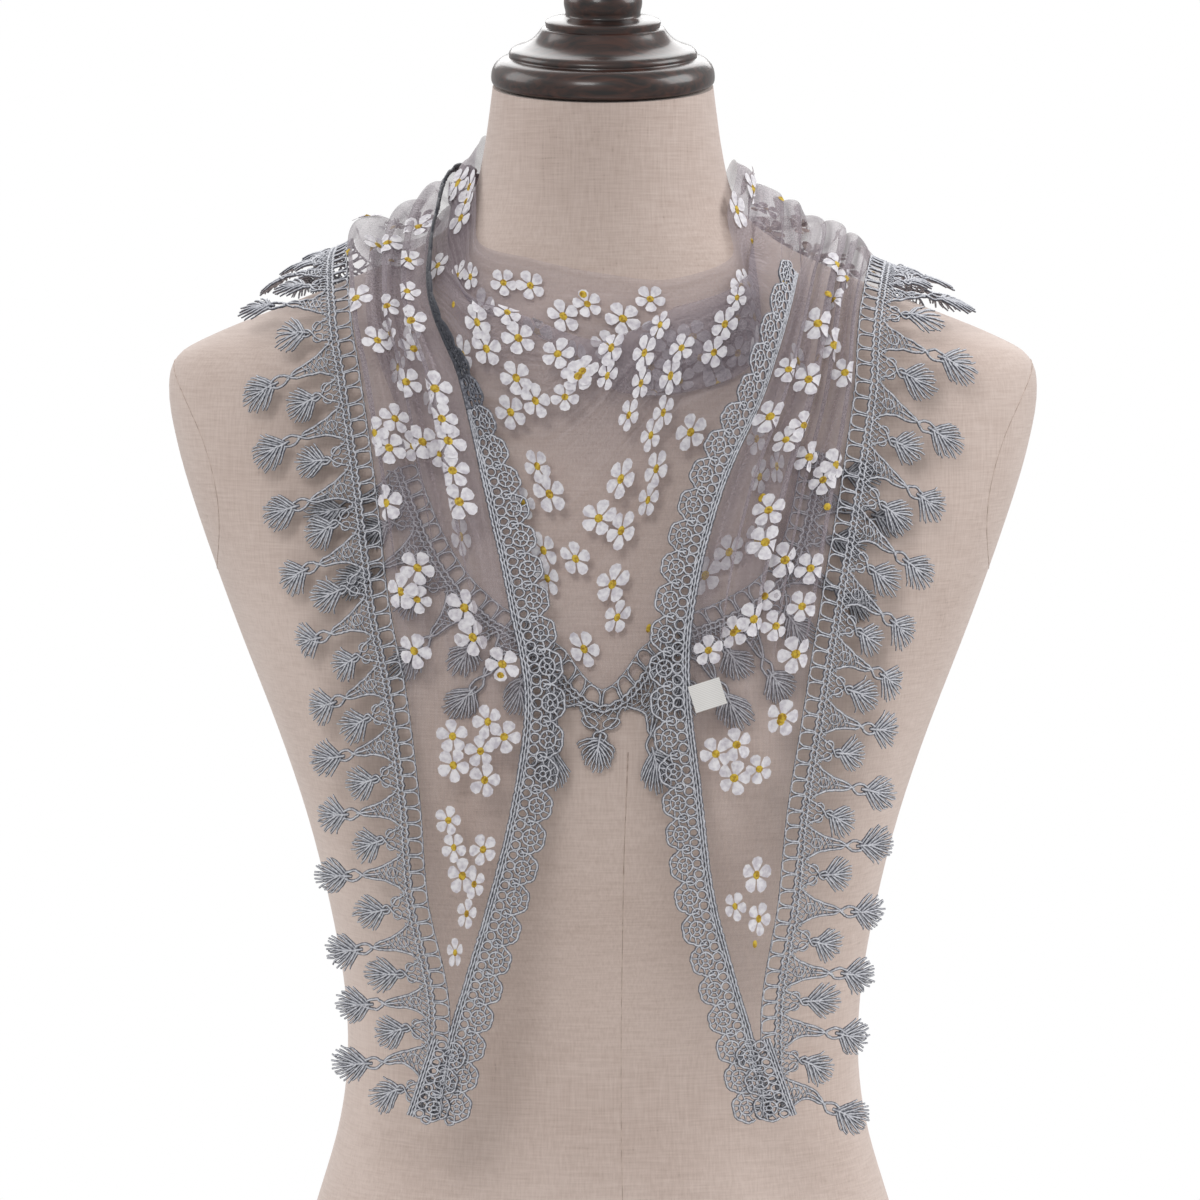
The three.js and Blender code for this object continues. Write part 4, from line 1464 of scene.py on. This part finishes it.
@dataclass
class NarrowLace:
    """The narrow edging of the long hem: a corded heading, round holes and a rosette in each scallop."""

    step: float = 13.3
    reach: float = 16.0
    heart_out: float = 10.2  # mm from the sewn edge to the rosette's middle
    heart: Pair = (1.2, 1.2)  # half sizes, along and out
    rosette: Pair = (3.3, 3.2)
    scallop_out: float = 9.7
    scallop: Pair = (6.2, 6.1)
    shake: float = 0.08  # mm by which stitches stray
    roll_shade_span: Pair = (0.2, 0.8)  # shares of the width left between which a roll goes from full painted shade to its full painted top highlight
    seed: int = 11

    @staticmethod
    def around(angles: Array, radii: Pair, out: float) -> Array:
        """Places on an ellipse, along and out, at angles from straight out."""
        return np.stack([radii[0] * np.sin(angles), out + radii[1] * np.cos(angles)], -1)

    def repeat(self) -> list[Threads]:
        """One scallop.

        Returns:
            Its threads.
        """
        half = self.step / 2
        x = np.linspace(-half, half, 17)
        wave = np.sin(2 * math.pi * x / (self.step / 4))
        cords = [(0.6, 0.1), (1.7, -0.12), (2.8, 0.25)]
        cords = np.array([np.stack([x, y + size * wave, size * wave], -1) for y, size in cords])
        holes = np.array([ring((half * (2 * k - 2) / 3, 5.1), (1.95, 2.0), 10) for k in range(3)])
        side = np.array([ring((-half, 8.6), (1.8, 2.1), 10)])
        middle = self.heart_out
        rosette = np.array([ring((0, middle), self.rosette, 14)])
        heart = np.array([ring((0, middle), self.heart, 8)])
        angles = np.radians(np.arange(5) * 72 + 36)
        starts = self.around(angles, self.heart, middle)
        spokes = lines(starts, self.around(angles, self.rosette, middle), 3, 0.4)
        turn = np.radians(np.linspace(-108, 108, 33))
        bumps = (1 + 0.09 * np.abs(np.sin(turn * 3.3)))[:, None]
        rim = self.around(turn, self.scallop, 0) * bumps + (0, self.scallop_out)
        scallop = np.concatenate([rim, np.zeros((len(rim), 1))], -1)[None]
        angles = np.radians(np.linspace(-90, 90, 7))
        starts = self.around(angles, self.rosette, middle)
        rays = lines(starts, self.around(angles + 0.14, (6, 6), 9.8), 3, 0.3)
        return [
            Threads(cords, 0.7), Threads(holes, 0.64, closed=True), Threads(side, 0.6, closed=True),
            Threads(rosette, 0.68, closed=True), Threads(heart, 0.6, closed=True),
            Threads(spokes, 0.52), Threads(scallop, 0.68), Threads(rays, 0.5),
        ]

    def build(self, name: str, grounds: list[LaceGround], thread: Material) -> Piece:
        """Lays the edging along the hem.

        Args:
            name: The solid that it stands for.
            grounds: Where it lies, layer by layer.
            thread: Its material.

        Returns:
            The edging, as one piece.
        """
        parts, spread = [], []
        for ground in grounds:
            grids = ground.grids()
            steps = np.arange(len(ground.rows) - 1)
            middle = (ground.rows[:-1] + ground.rows[1:]) / 2
            # painted shade: where the edging curls into a roll its threads lose their painted top highlight
            # and read dark
            roll_light_share = smoothstep(read_off(ground.curl, middle), *self.roll_shade_span)
            chance = np.random.default_rng(self.seed + len(steps))
            for group in self.repeat():
                paths = np.repeat(group.paths[None], len(steps), 0)
                paths[..., :2] += chance.normal(0, self.shake, paths[..., :2].shape)
                parts.append(ground.carry(grids, steps, group._replace(paths=paths)))
                spread.append(np.repeat(roll_light_share, len(parts[-1][0]) // len(steps)))
        return lace_piece(name, parts, thread, spread)


class LaceRun(NamedTuple):
    """One piece of lace: the stretch that it edges and the rows between which it runs."""

    name: str
    stretch: int
    first: float
    last: float
    edge: Edge


@dataclass
class LaceTrim:
    """All the lace of the shawl."""

    cloth: ShawlCloth
    wide: WideLace = field(default_factory=WideLace)
    narrow: NarrowLace = field(default_factory=NarrowLace)
    runs: tuple[LaceRun, ...] = (
        LaceRun("edging_left", 0, -0.05, 9, Edge.HEM), LaceRun("edging_right", 4, 25.9, 34.05, Edge.HEM),
        LaceRun("edging_neck", 1, 9, 12, Edge.HEM), LaceRun("fringe_left", 0, 0, 9, Edge.FRINGE),
        LaceRun("fringe_right", 4, 25, 34, Edge.FRINGE), LaceRun("fringe_bib", 2, 14.4, 19.6, Edge.FRINGE),
        LaceRun("fringe_over", 1, 9, 12.3, Edge.FRINGE), LaceRun("fringe_under", 3, 21.6, 24.75, Edge.FRINGE),
    )
    # The narrow lace: its outer edge's lift, degrees that it stands up, width left in a roll, inset
    edging_lift: Table = (
        (0, 5), (3, 9), (5, 12), (9, 9), (9.5, 2), (12.5, 2), (13, 8), (29, 12), (31, 9), (34, 5),
    )
    edging_turn: Table = (
        (6, 0), (7.2, 40), (7.8, 60), (8.4, 60), (9, 40), (9.5, 0), (25, 0), (26, 58), (27.2, 50), (28.6, 0),
    )
    # Where the narrow lace curls into a roll its threads are also painted in shade
    edging_curl: Table = (
        (5.9, 1), (7.2, 0.36), (7.9, 0.22), (8.8, 0.2), (9.6, 0.5), (12.6, 0.5), (13.4, 1),
    )
    edging_inset: Table = ((0, 3), (1.2, 0), (8.6, 0), (9.4, 5), (13, 5), (13.4, 0), (32.8, 0), (34, 3))
    # A second layer of it covers the tips of the cloth
    tip_rows: Pair = (-0.08, 0.7)  # from the tip, towards the neck
    tip_lift: Table = ((0, 8),)
    tip_inset: Table = ((-0.2, 13), (0.8, 7), (33.2, 7), (34.2, 13))
    no_leaves: Pair = (90, 99)  # past the edging's reach, as it keeps to the hem
    # The wide lace: degrees that its leaves lean along, inset, and lift of the leaves' tips
    leaf_sweep: Table = (
        (0, -38), (0.7, -12), (1.3, 0), (4, -8), (7.6, -4), (8.2, 20), (8.7, 45), (9.2, 62), (10.2, 40),
        (11.2, 0), (16, 0), (16.55, 46), (17, 0), (17.45, -46), (18, 0), (24, 0), (24.6, -55), (25.2, -58),
        (25.7, -25), (26.4, 12), (28.5, 18), (30, 4), (32.7, 0), (33.3, 12), (34, 38),
    )
    fringe_inset: Table = (
        (0, 6.5), (0.8, 3), (1.8, 0), (15.8, 0), (16.45, 6.5), (17, 1), (17.55, 6.5), (18.2, 0), (32.2, 0),
        (33.2, 3), (34, 6.5),
    )
    leaf_lift: Table = (
        (0, 5), (6.5, 7), (8, 11), (9, 14), (10, 12), (12.3, 9), (14, 2.5), (19.6, 2.5), (21.6, 2.5), (24, 3),
        (25, 13), (26, 11), (27.5, 7), (34, 5),
    )
    end_gap: float = 0.15  # mm that lace stops short of the end of its stretch

    def even_rows(self, edge: Edge, first: float, last: float, step: float, pairs: bool) -> Array:
        """Rows at equal steps along an edge.

        Args:
            edge: Which edge.
            first: The first row.
            last: The last row.
            step: Millimetres wanted between them.
            pairs: Whether the count of steps is even.

        Returns:
            The rows.
        """
        rows = np.linspace(first, last, 600)
        lengths = distance(self.cloth.edge_line(edge, rows), 0)
        total = lengths[-1]
        count = 2 * round(total / step / 2) if pairs else round(total / step)
        return np.interp(np.linspace(self.end_gap, total - self.end_gap, count + 1), lengths, rows)

    def fringe_ground(self, run: LaceRun) -> LaceGround:
        """Where a run of the wide lace lies, in step with the whole edge of its stretch."""
        stretch, lace = self.cloth.stretches[run.stretch], self.wide
        rows = self.even_rows(run.edge, stretch.first, stretch.last, lace.step, True)
        rows = rows[(rows >= run.first) & (rows <= run.last)]
        ground = LaceGround(self.cloth, run.edge, rows, lace.step, lace.reach, self.leaf_lift)
        return replace(ground, sweep=self.leaf_sweep, inset=self.fringe_inset)

    def edging_grounds(self, run: LaceRun) -> list[LaceGround]:
        """Where a run of the narrow lace lies, with its second layer if it reaches a tip of the cloth."""
        lace = self.narrow
        rows = self.even_rows(run.edge, run.first, run.last, lace.step, False)
        ground = LaceGround(self.cloth, run.edge, rows, lace.step, lace.reach, self.edging_lift)
        ground = replace(ground, turn_up=self.edging_turn, inset=self.edging_inset, curl=self.edging_curl)
        ground = replace(ground, leaf_from=self.no_leaves[0], leaf_to=self.no_leaves[1])
        grounds = [ground]
        for tip in (0, len(self.cloth.rows) - 1):
            if min(abs(run.first - tip), abs(run.last - tip)) < 0.5:
                near = np.linspace(*self.tip_rows, 4)
                near = np.sort(tip - near) if tip else near
                grounds.append(replace(ground, rows=near, tip_lift=self.tip_lift, inset=self.tip_inset))
        return grounds

    def build(self) -> dict[int, list[Piece]]:
        """Makes every piece of lace.

        Returns:
            The pieces, by the number of the stretch that they edge.
        """
        thread = LaceThread().make()
        pieces: dict[int, list[Piece]] = {}
        for run in self.runs:
            if run.edge is Edge.FRINGE:
                piece = self.wide.build(run.name, self.fringe_ground(run), thread)
            else:
                piece = self.narrow.build(run.name, self.edging_grounds(run), thread)
            pieces.setdefault(run.stretch, []).append(piece)
        return pieces


@dataclass
class Blossoms:
    """White five-petalled flowers sewn on the cloth in loose clusters."""

    radius: float = 7.5
    # Half a petal, out and aside, and its middle, in shares of the radius
    petal: tuple[Pair, ...] = ((0.2, 0.09), (0.45, 0.26), (0.7, 0.37), (0.92, 0.27), (1.0, 0.0))
    petal_heart: float = 0.66
    petal_lift: Triple = (0.35, 0.3, 0.5)  # mm off the cloth at its middle and root, and more at its tip
    eye_radius: float = 1.85
    eye_lift: Pair = (0.35, 1.3)  # mm off the cloth at its rim and on top
    sizes: Pair = (0.84, 1.1)
    gap: float = 13.8  # mm between neighbours in a cluster
    reach: Pair = (0.95, 1.12)  # shares of it from one flower to the next
    loose_reach: Pair = (0.95, 1.25)  # the same in a scattered cluster
    crowded: Triple = (0.85, 0.92, 0.7)  # shares too close in a cluster, in a scattered one, for a knot
    goes_on: float = 0.7  # how often such a cluster grows from its newest flower
    cluster_gap: float = 42.0
    cluster: tuple[int, int] = (4, 7)
    margin: float = 7.5
    tries: int = 30  # places tried for each flower of a cluster
    off_cloth: float = 6.0  # mm past which such a place is given up
    close_by: Pair = (2.5, 0.5)  # mm, and past the nearest point, in which the outermost is taken
    edge_on: float = 8.0  # mm by which cloth seen edge on counts as deeper
    least_step: Pair = (0.8, 0.5)  # mm that a grid's rows and columns count as at least
    hearts_tried: int = 2600
    eyes_alone: int = 12  # lone yellow knots on each stretch
    # Past these the collar's back is plain: mm aside, back and up, and how steeply that falls aside
    plain: tuple[float, float, float, float] = (36, -5, 586, 0.5)
    stiff: float = 0.3  # how far flowers stay flat over the pleats
    seed: int = 23
    viewed_from: Triple = (-1.3, -2394.0, 572.0)
    front: tuple[tuple[Cluster, ...], ...] = (  # stretch by stretch
        ((-96, 535, 5), (-84, 556, 3), (-75, 500, 5), (-92, 473, 4), (-66, 462, 4), (-98, 447, 2),
         (-80, 418, 3), (-63, 402, 2), (-85, 381, 1), (-44, 379, 1), (-56, 339, 6), (-68, 295, 5),
         (-56, 277, 2), (-70, 250, 1)),
        ((62, 592, 2), (72, 574, 3), (-90, 566, 3)),
        ((-57, 588, 3), (56, 578, 3), (-45, 546, 5), (-6, 537, 5), (22, 540, 4), (20, 515, 6),
         (50, 556, 4), (52, 528, 3), (-50, 517, 4), (-30, 495, 4), (-10, 505, 3), (27, 489, 3),
         (25, 464, 4), (-24, 453, 3), (-26, 429, 3), (10, 436, 2), (4, 413, 2), (-10, 385, 1)),
        ((84, 568, 3), (102, 553, 2)),
        ((93, 528, 3), (89, 504, 3), (78, 475, 4), (96, 460, 2), (70, 430, 3), (90, 420, 2),
         (56, 392, 3), (78, 394, 3), (77, 353, 1), (58, 326, 6), (58, 269, 4), (70, 284, 1),
         (66, 226, 1)),
    )

    def petals(self) -> Faces:
        """A flower on flat cloth.

        Returns:
            Points, along, across and off the cloth, and triangles, each petal a fan.
        """
        half = np.array(self.petal)
        outline = np.vstack([half, (half * (1, -1))[-2::-1]]) * self.radius
        away = norm(outline, axis=-1) / self.radius
        middle_lift, root_lift, tip_lift = self.petal_lift
        count = len(outline)
        points, faces = [], []
        for k in range(5):
            turn = math.radians(72 * k)
            heart = self.petal_heart * self.radius
            start = len(points)
            points.append((heart * math.cos(turn), heart * math.sin(turn), middle_lift))
            points += [(*p, root_lift + tip_lift * a**3) for p, a in zip(outline @ turned(turn), away)]
            faces += [(start, start + 1 + n, start + 1 + (n + 1) % count) for n in range(count)]
        return np.array(points), np.array(faces)

    def eye(self) -> Faces:
        """A knot: a low dome.

        Returns:
            Points and triangles.
        """
        sides = 8
        turn = np.radians(np.arange(sides) * 360 / sides)
        rim = self.eye_radius * np.stack([np.cos(turn), np.sin(turn)], -1)
        rim = np.concatenate([rim, np.full((sides, 1), self.eye_lift[0])], -1)
        faces = [(sides, n, (n + 1) % sides) for n in range(sides)]
        return np.vstack([rim, [[0, 0, self.eye_lift[1]]]]), np.array(faces)

    def seen(self, points: Array) -> Array:
        """Where points stand on the form's middle plane, across and up, as they are seen from the front."""
        eye = np.array(self.viewed_from)
        way = points - eye
        return (eye + way * (-eye[1] / way[..., 1])[..., None])[..., (0, 2)]

    def shown(self, grid: ClothGrid, layers: Array) -> Array:
        """Which of a stretch's points lie outermost on the front.

        Args:
            grid: The stretch.
            layers: The points of all the cloth.

        Returns:
            True where nothing but itself is in front.
        """
        size, cells = 4.0, 200

        def cell(points: Array) -> Array:
            """The numbers of the picture's cells that points are seen in."""
            across, height = np.moveaxis(self.seen(points) / size, -1, 0)
            column = np.clip(across + cells / 2, 0, cells - 1).astype(int)
            return column * cells + np.clip(height, 0, cells - 1).astype(int)

        nearest = np.full(cells * cells, FAR)
        np.minimum.at(nearest, cell(layers), layers[:, 1])
        return grid.points[..., 1] < nearest[cell(grid.points)] + size

    def choose(self, middle: Array, own: list[Array], taken: list[Array], chance: Chance) -> Array:
        """Chooses where the next flower of a cluster is seen.

        Args:
            middle: The cluster's middle.
            own: The cluster's flowers so far.
            taken: All flowers so far.
            chance: The source of chance.

        Returns:
            The place nearest the middle that leaves its neighbours room.
        """
        count = self.tries
        turn = chance.uniform(0, 2 * math.pi, count)
        stem = np.array(own)[chance.integers(0, len(own), count)] if own else middle
        reach = self.gap * chance.uniform(*self.reach, count)[:, None] * bool(own)
        tries = stem + reach * np.stack([np.cos(turn), np.sin(turn)], -1)
        others = np.array(taken) if taken else np.full((1, 2), FAR)
        room = norm(tries[:, None] - others, axis=-1).min(1)
        crowded = 40 * (room < self.gap * self.crowded[0])
        away = norm(tries - middle, axis=-1) + crowded + chance.uniform(0, 9, count)
        return tries[np.argmin(away)]

    def gathered(self, grid: ClothGrid, clusters: tuple[Cluster, ...], chance: Chance) -> Spots:
        """Places the clusters that show on the front of a stretch, on its outermost layer.

        Args:
            grid: The stretch.
            clusters: Its clusters.
            chance: The source of chance.

        Returns:
            Grid places of the flowers.
        """
        flat = self.seen(grid.points)
        depth = grid.points[..., 1] + self.edge_on * (1 - np.abs(grid.outs[..., 1]))
        columns = depth.shape[1]
        inside = (grid.across > self.margin) & (grid.across < grid.across[:, -1:] - self.margin)
        taken: list[Array] = []
        spots = []
        for *middle, count in clusters:
            own: list[Array] = []
            for _ in range(count):
                spot = self.choose(np.array(middle), own, taken, chance)
                near = np.where(inside, norm(flat - spot, axis=-1), FAR)
                if near.min() > self.off_cloth:
                    continue
                reach = max(self.close_by[0], near.min() + self.close_by[1])
                choice = np.argmin(np.where(near < reach, depth, FAR))
                own.append(spot)
                taken.append(spot)
                spots.append((float(choice // columns), float(choice % columns)))
        return spots

    def scatter(self, grid: ClothGrid, chance: Chance) -> tuple[Spots, Spots]:
        """Places clusters over a stretch.

        Args:
            grid: The stretch.
            chance: The source of chance.

        Returns:
            Grid places of the flowers, and of the lone knots.
        """
        rows, columns = grid.points.shape[:2]
        long = grid.along[-1].mean()
        wide = grid.across[:, -1]
        hearts, flowers, alone = [], [], []

        def place(along: float, across: float) -> Optional[Pair]:
            """The grid place at some millimetres along and across, if it is on the cloth."""
            row = along / long * (rows - 1)
            if not 0 <= row <= rows - 1:
                return None
            full = np.interp(row, np.arange(rows), wide)
            if not self.margin < across < full - self.margin:
                return None
            return row, across / full * (columns - 1)

        def anywhere() -> Array:
            """A place drawn by chance."""
            return np.array([chance.uniform(0, long), chance.uniform(0, wide.max())])

        def clear(spot: Array, others: list[Array], room: float) -> bool:
            """Whether a spot has room from all the others."""
            return all(norm(spot - other) >= room for other in others)

        for _ in range(self.hearts_tried):
            heart = anywhere()
            if not clear(heart, hearts, self.cluster_gap):
                continue
            hearts.append(heart)
            here = heart
            for _ in range(int(chance.integers(*self.cluster))):
                turn = chance.uniform(0, 2 * math.pi)
                reach = self.gap * chance.uniform(*self.loose_reach)
                spot = here + reach * np.array([math.cos(turn), math.sin(turn)])
                if clear(spot, flowers, self.gap * self.crowded[1]) and place(*spot) is not None:
                    flowers.append(spot)
                    here = spot if chance.uniform() < self.goes_on else here
        while len(alone) < self.eyes_alone:
            spot = anywhere()
            if place(*spot) is None or clear(spot, flowers, self.gap * self.crowded[2]):
                alone.append(place(*spot))
        return [place(*spot) for spot in flowers], [spot for spot in alone if spot]

    def lay(self, grid: ClothGrid, spots: Spots, motif: Faces, chance: Chance) -> Faces:
        """Lays a motif on the cloth at many places, bent with the cloth.

        Args:
            grid: The stretch.
            spots: Grid places.
            motif: The motif's points and triangles.
            chance: The source of chance.

        Returns:
            Points and triangles.
        """
        flat, faces = motif
        rows, columns = grid.points.shape[:2]
        parts = []
        for row, column in spots:
            i, j = min(int(row), rows - 2), min(int(column), columns - 2)
            here = grid.points[i, j]
            ahead, aside = grid.points[i + 1, j] - here, grid.points[i, j + 1] - here
            per_row = max(norm(ahead), self.least_step[0])
            per_column = max(norm(aside), self.least_step[1])
            turn, size = chance.uniform(0, 2 * math.pi), chance.uniform(*self.sizes)
            local = flat[:, :2] @ (size * turned(turn))
            draped = grid.sample(row + local[:, 0] / per_row, column + local[:, 1] / per_column, flat[:, 2])
            away = unit(grid.outs[i, j])
            along = unit(np.cross(np.cross(away, ahead), away))
            across = np.cross(along, away)
            across = across * (np.sign(np.dot(across, aside)) or 1.0)  # the way that the columns run
            plane = here + (local[:, :1] * along + local[:, 1:] * across) + away * flat[:, 2:]
            parts.append((draped + (plane - draped) * self.stiff, faces))
        return join_parts(parts)

    def build(self, grids: list[ClothGrid]) -> list[Piece]:
        """Sews the flowers on.

        Args:
            grids: The stretches' grids.

        Returns:
            The flowers, one piece for each stretch.
        """
        white, yellow = SATIN_PETAL.make(), FLOWER_EYE.make()
        petals, eye = self.petals(), self.eye()
        layers = np.vstack([grid.points.reshape(-1, 3) for grid in grids])
        aside, back, top, slope = self.plain
        pieces = []
        for grid, clusters in zip(grids, self.front):
            chance = np.random.default_rng(self.seed + grid.stretch.first)
            flowers, alone = self.scatter(grid, chance)
            x, y, z = np.moveaxis(grid.points, -1, 0)
            bare = (np.abs(x) > aside) & (y > back) & (z > top - slope * (np.abs(x) - aside))
            bare = bare | self.shown(grid, layers)
            flowers = [spot for spot in flowers if not bare[int(spot[0]), int(spot[1])]]
            flowers += self.gathered(grid, clusters, chance)
            state = chance.bit_generator.state
            leaves = self.lay(grid, flowers, petals, chance)
            chance.bit_generator.state = state
            hearts = self.lay(grid, flowers + alone, eye, chance)
            piece = mesh_piece(f"flowers_{grid.stretch.name}", join_parts([leaves, hearts]), [white, yellow])
            slots = np.repeat(np.arange(2, dtype=np.int32), [len(leaves[1]), len(hearts[1])])
            piece.data.polygons.foreach_set("material_index", slots)
            pieces.append(settle_piece(piece, "net"))
        return pieces


@dataclass
class BlankLabel:
    """The small blank label caught in the right end's hem."""

    cloth: ShawlCloth
    row: float = 30.1
    long: float = 13.5
    wide: float = 11.5
    tilt: float = -14.0  # degrees that it droops
    stand: float = 1.6  # mm off the cloth
    curl: float = 2.5  # mm that its free end stands up
    ripple: float = 0.5
    steps: tuple[int, int] = (12, 10)

    def build(self) -> Piece:
        """Makes the label.

        Returns:
            The label.
        """
        row = np.array([self.row])
        ground = LaceGround(self.cloth, Edge.HEM, row, self.wide, self.long, ((0, 0),))
        place, away, along, lift = ground.seats(row)
        _, out = self.cloth.form.settle(place)
        rows, columns = self.steps
        u, v = np.meshgrid(np.linspace(0, 1, rows), np.linspace(-0.5, 0.5, columns), indexing="ij")
        tilt = math.radians(self.tilt)
        x, y = u * self.long, v * self.wide
        inward = (x * math.cos(tilt) - y * math.sin(tilt))[..., None]
        down = (x * math.sin(tilt) + y * math.cos(tilt))[..., None]
        stand = (lift[0] + self.stand + self.curl * u**2 + self.ripple * np.sin(u * 5))[..., None]
        points = place[0] - away[0] * inward + along[0] * down + out[0] * stand
        shape = points.reshape(-1, 3), grid_faces(rows, columns)[:, ::-1]
        uvs = np.stack([x, y], -1).reshape(-1, 2)
        label = mesh_piece("blank_label", shape, [WovenTape().make()], uvs)
        settle_piece(label, "tape", "label")
        return label


class SoftLight(NamedTuple):
    """A square light that faces the form."""

    name: str
    place: Triple  # m
    size: float  # m
    power: float  # W


@dataclass
class Studio:
    """The plain floor, the soft light and the camera."""

    aim: Triple = (-0.0013, 0.0, 0.405)
    distance: float = 2.4
    elevation: float = 4.0
    lens: float = 163.6
    sensor: float = 36.0
    lights: tuple[SoftLight, ...] = (
        SoftLight("key", (-0.7, -2.1, 1.9), 0.8, 14.5),
        SoftLight("side_left", (-1.7, 0.3, 1.5), 1.2, 11),
        SoftLight("side_right", (1.7, -0.1, 1.5), 1.2, 21),
        SoftLight("back", (0.0, 1.4, 1.7), 1.6, 20),
    )
    lit: Triple = (0, 0, 0.42)  # what the lights face
    floor_radius: float = 0.55
    floor_drop: float = 0.0005  # m below the form's underside
    surround: float = 0.48
    layers_seen: int = 32  # see-through layers that the light is followed through

    def place_camera(self) -> None:
        """Puts the camera at the photograph's angle."""
        tilt = math.radians(self.elevation)
        data = bpy.data.cameras.new("camera")
        data.lens, data.sensor_width = self.lens, self.sensor
        camera = bpy.data.objects.new("camera", data)
        camera.location = Vector(self.aim) + Vector((0, -math.cos(tilt), math.sin(tilt))) * self.distance
        camera.rotation_euler = (math.radians(90 - self.elevation), 0, 0)
        bpy.context.collection.objects.link(camera)
        bpy.context.scene.camera = camera

    def add_light(self, soft: SoftLight) -> None:
        """Adds a light, turned to the form."""
        data = bpy.data.lights.new(soft.name, "AREA")
        data.shape, data.size, data.energy = "SQUARE", soft.size, soft.power
        light = bpy.data.objects.new(soft.name, data)
        light.location = soft.place
        light.rotation_euler = (Vector(self.lit) - Vector(soft.place)).to_track_quat("-Z", "Y").to_euler()
        bpy.context.collection.objects.link(light)

    def whiten_room(self) -> None:
        """Makes the surroundings white to the eye, and a softer light on the part."""
        world = bpy.data.worlds.new("white_room")
        bpy.context.scene.world = world
        world.use_nodes = True
        tree = world.node_tree
        tree.nodes.clear()
        seen = add_node(tree, "Background", {"Color": (1, 1, 1, 1), "Strength": 1.0})
        lit = add_node(tree, "Background", {"Color": (1, 0.99, 0.985, 1), "Strength": self.surround})
        path = add_node(tree, "LightPath")
        choice = {0: path.outputs["Is Camera Ray"], 1: lit.outputs[0], 2: seen.outputs[0]}
        both = add_node(tree, "MixShader", choice)
        add_node(tree, "OutputWorld", {"Surface": both.outputs[0]})

    def lay_floor(self) -> None:
        """Lays the round floor that catches the shadow."""
        bpy.ops.object.select_all(action="DESELECT")
        bpy.ops.mesh.primitive_circle_add(
            vertices=96, radius=self.floor_radius, fill_type="NGON", location=(0, 0, -self.floor_drop)
        )
        floor = bpy.context.object
        floor.name = "floor"
        floor.data.materials.append(StudioFloor().make())

    def build(self) -> None:
        """Sets the stage."""
        scene = bpy.context.scene
        scene.view_settings.view_transform = "Standard"
        scene.cycles.transparent_max_bounces = self.layers_seen
        self.place_camera()
        for light in self.lights:
            self.add_light(light)
        self.whiten_room()
        self.lay_floor()


def main() -> None:
    """Builds the part in order."""
    logging.basicConfig(level=logging.INFO, format="%(message)s")
    Studio().build()
    form = DressForm()
    form.build_body()
    form.build_seams()
    form.build_cap()
    cloth = ShawlCloth(form)
    grids = [cloth.grid(stretch) for stretch in cloth.stretches]
    sheets = cloth.build(grids)
    lace = LaceTrim(cloth).build()
    flowers = Blossoms().build(grids)
    BlankLabel(cloth).build()
    LOG.info("sizes written")


if __name__ == "__main__":
    main()
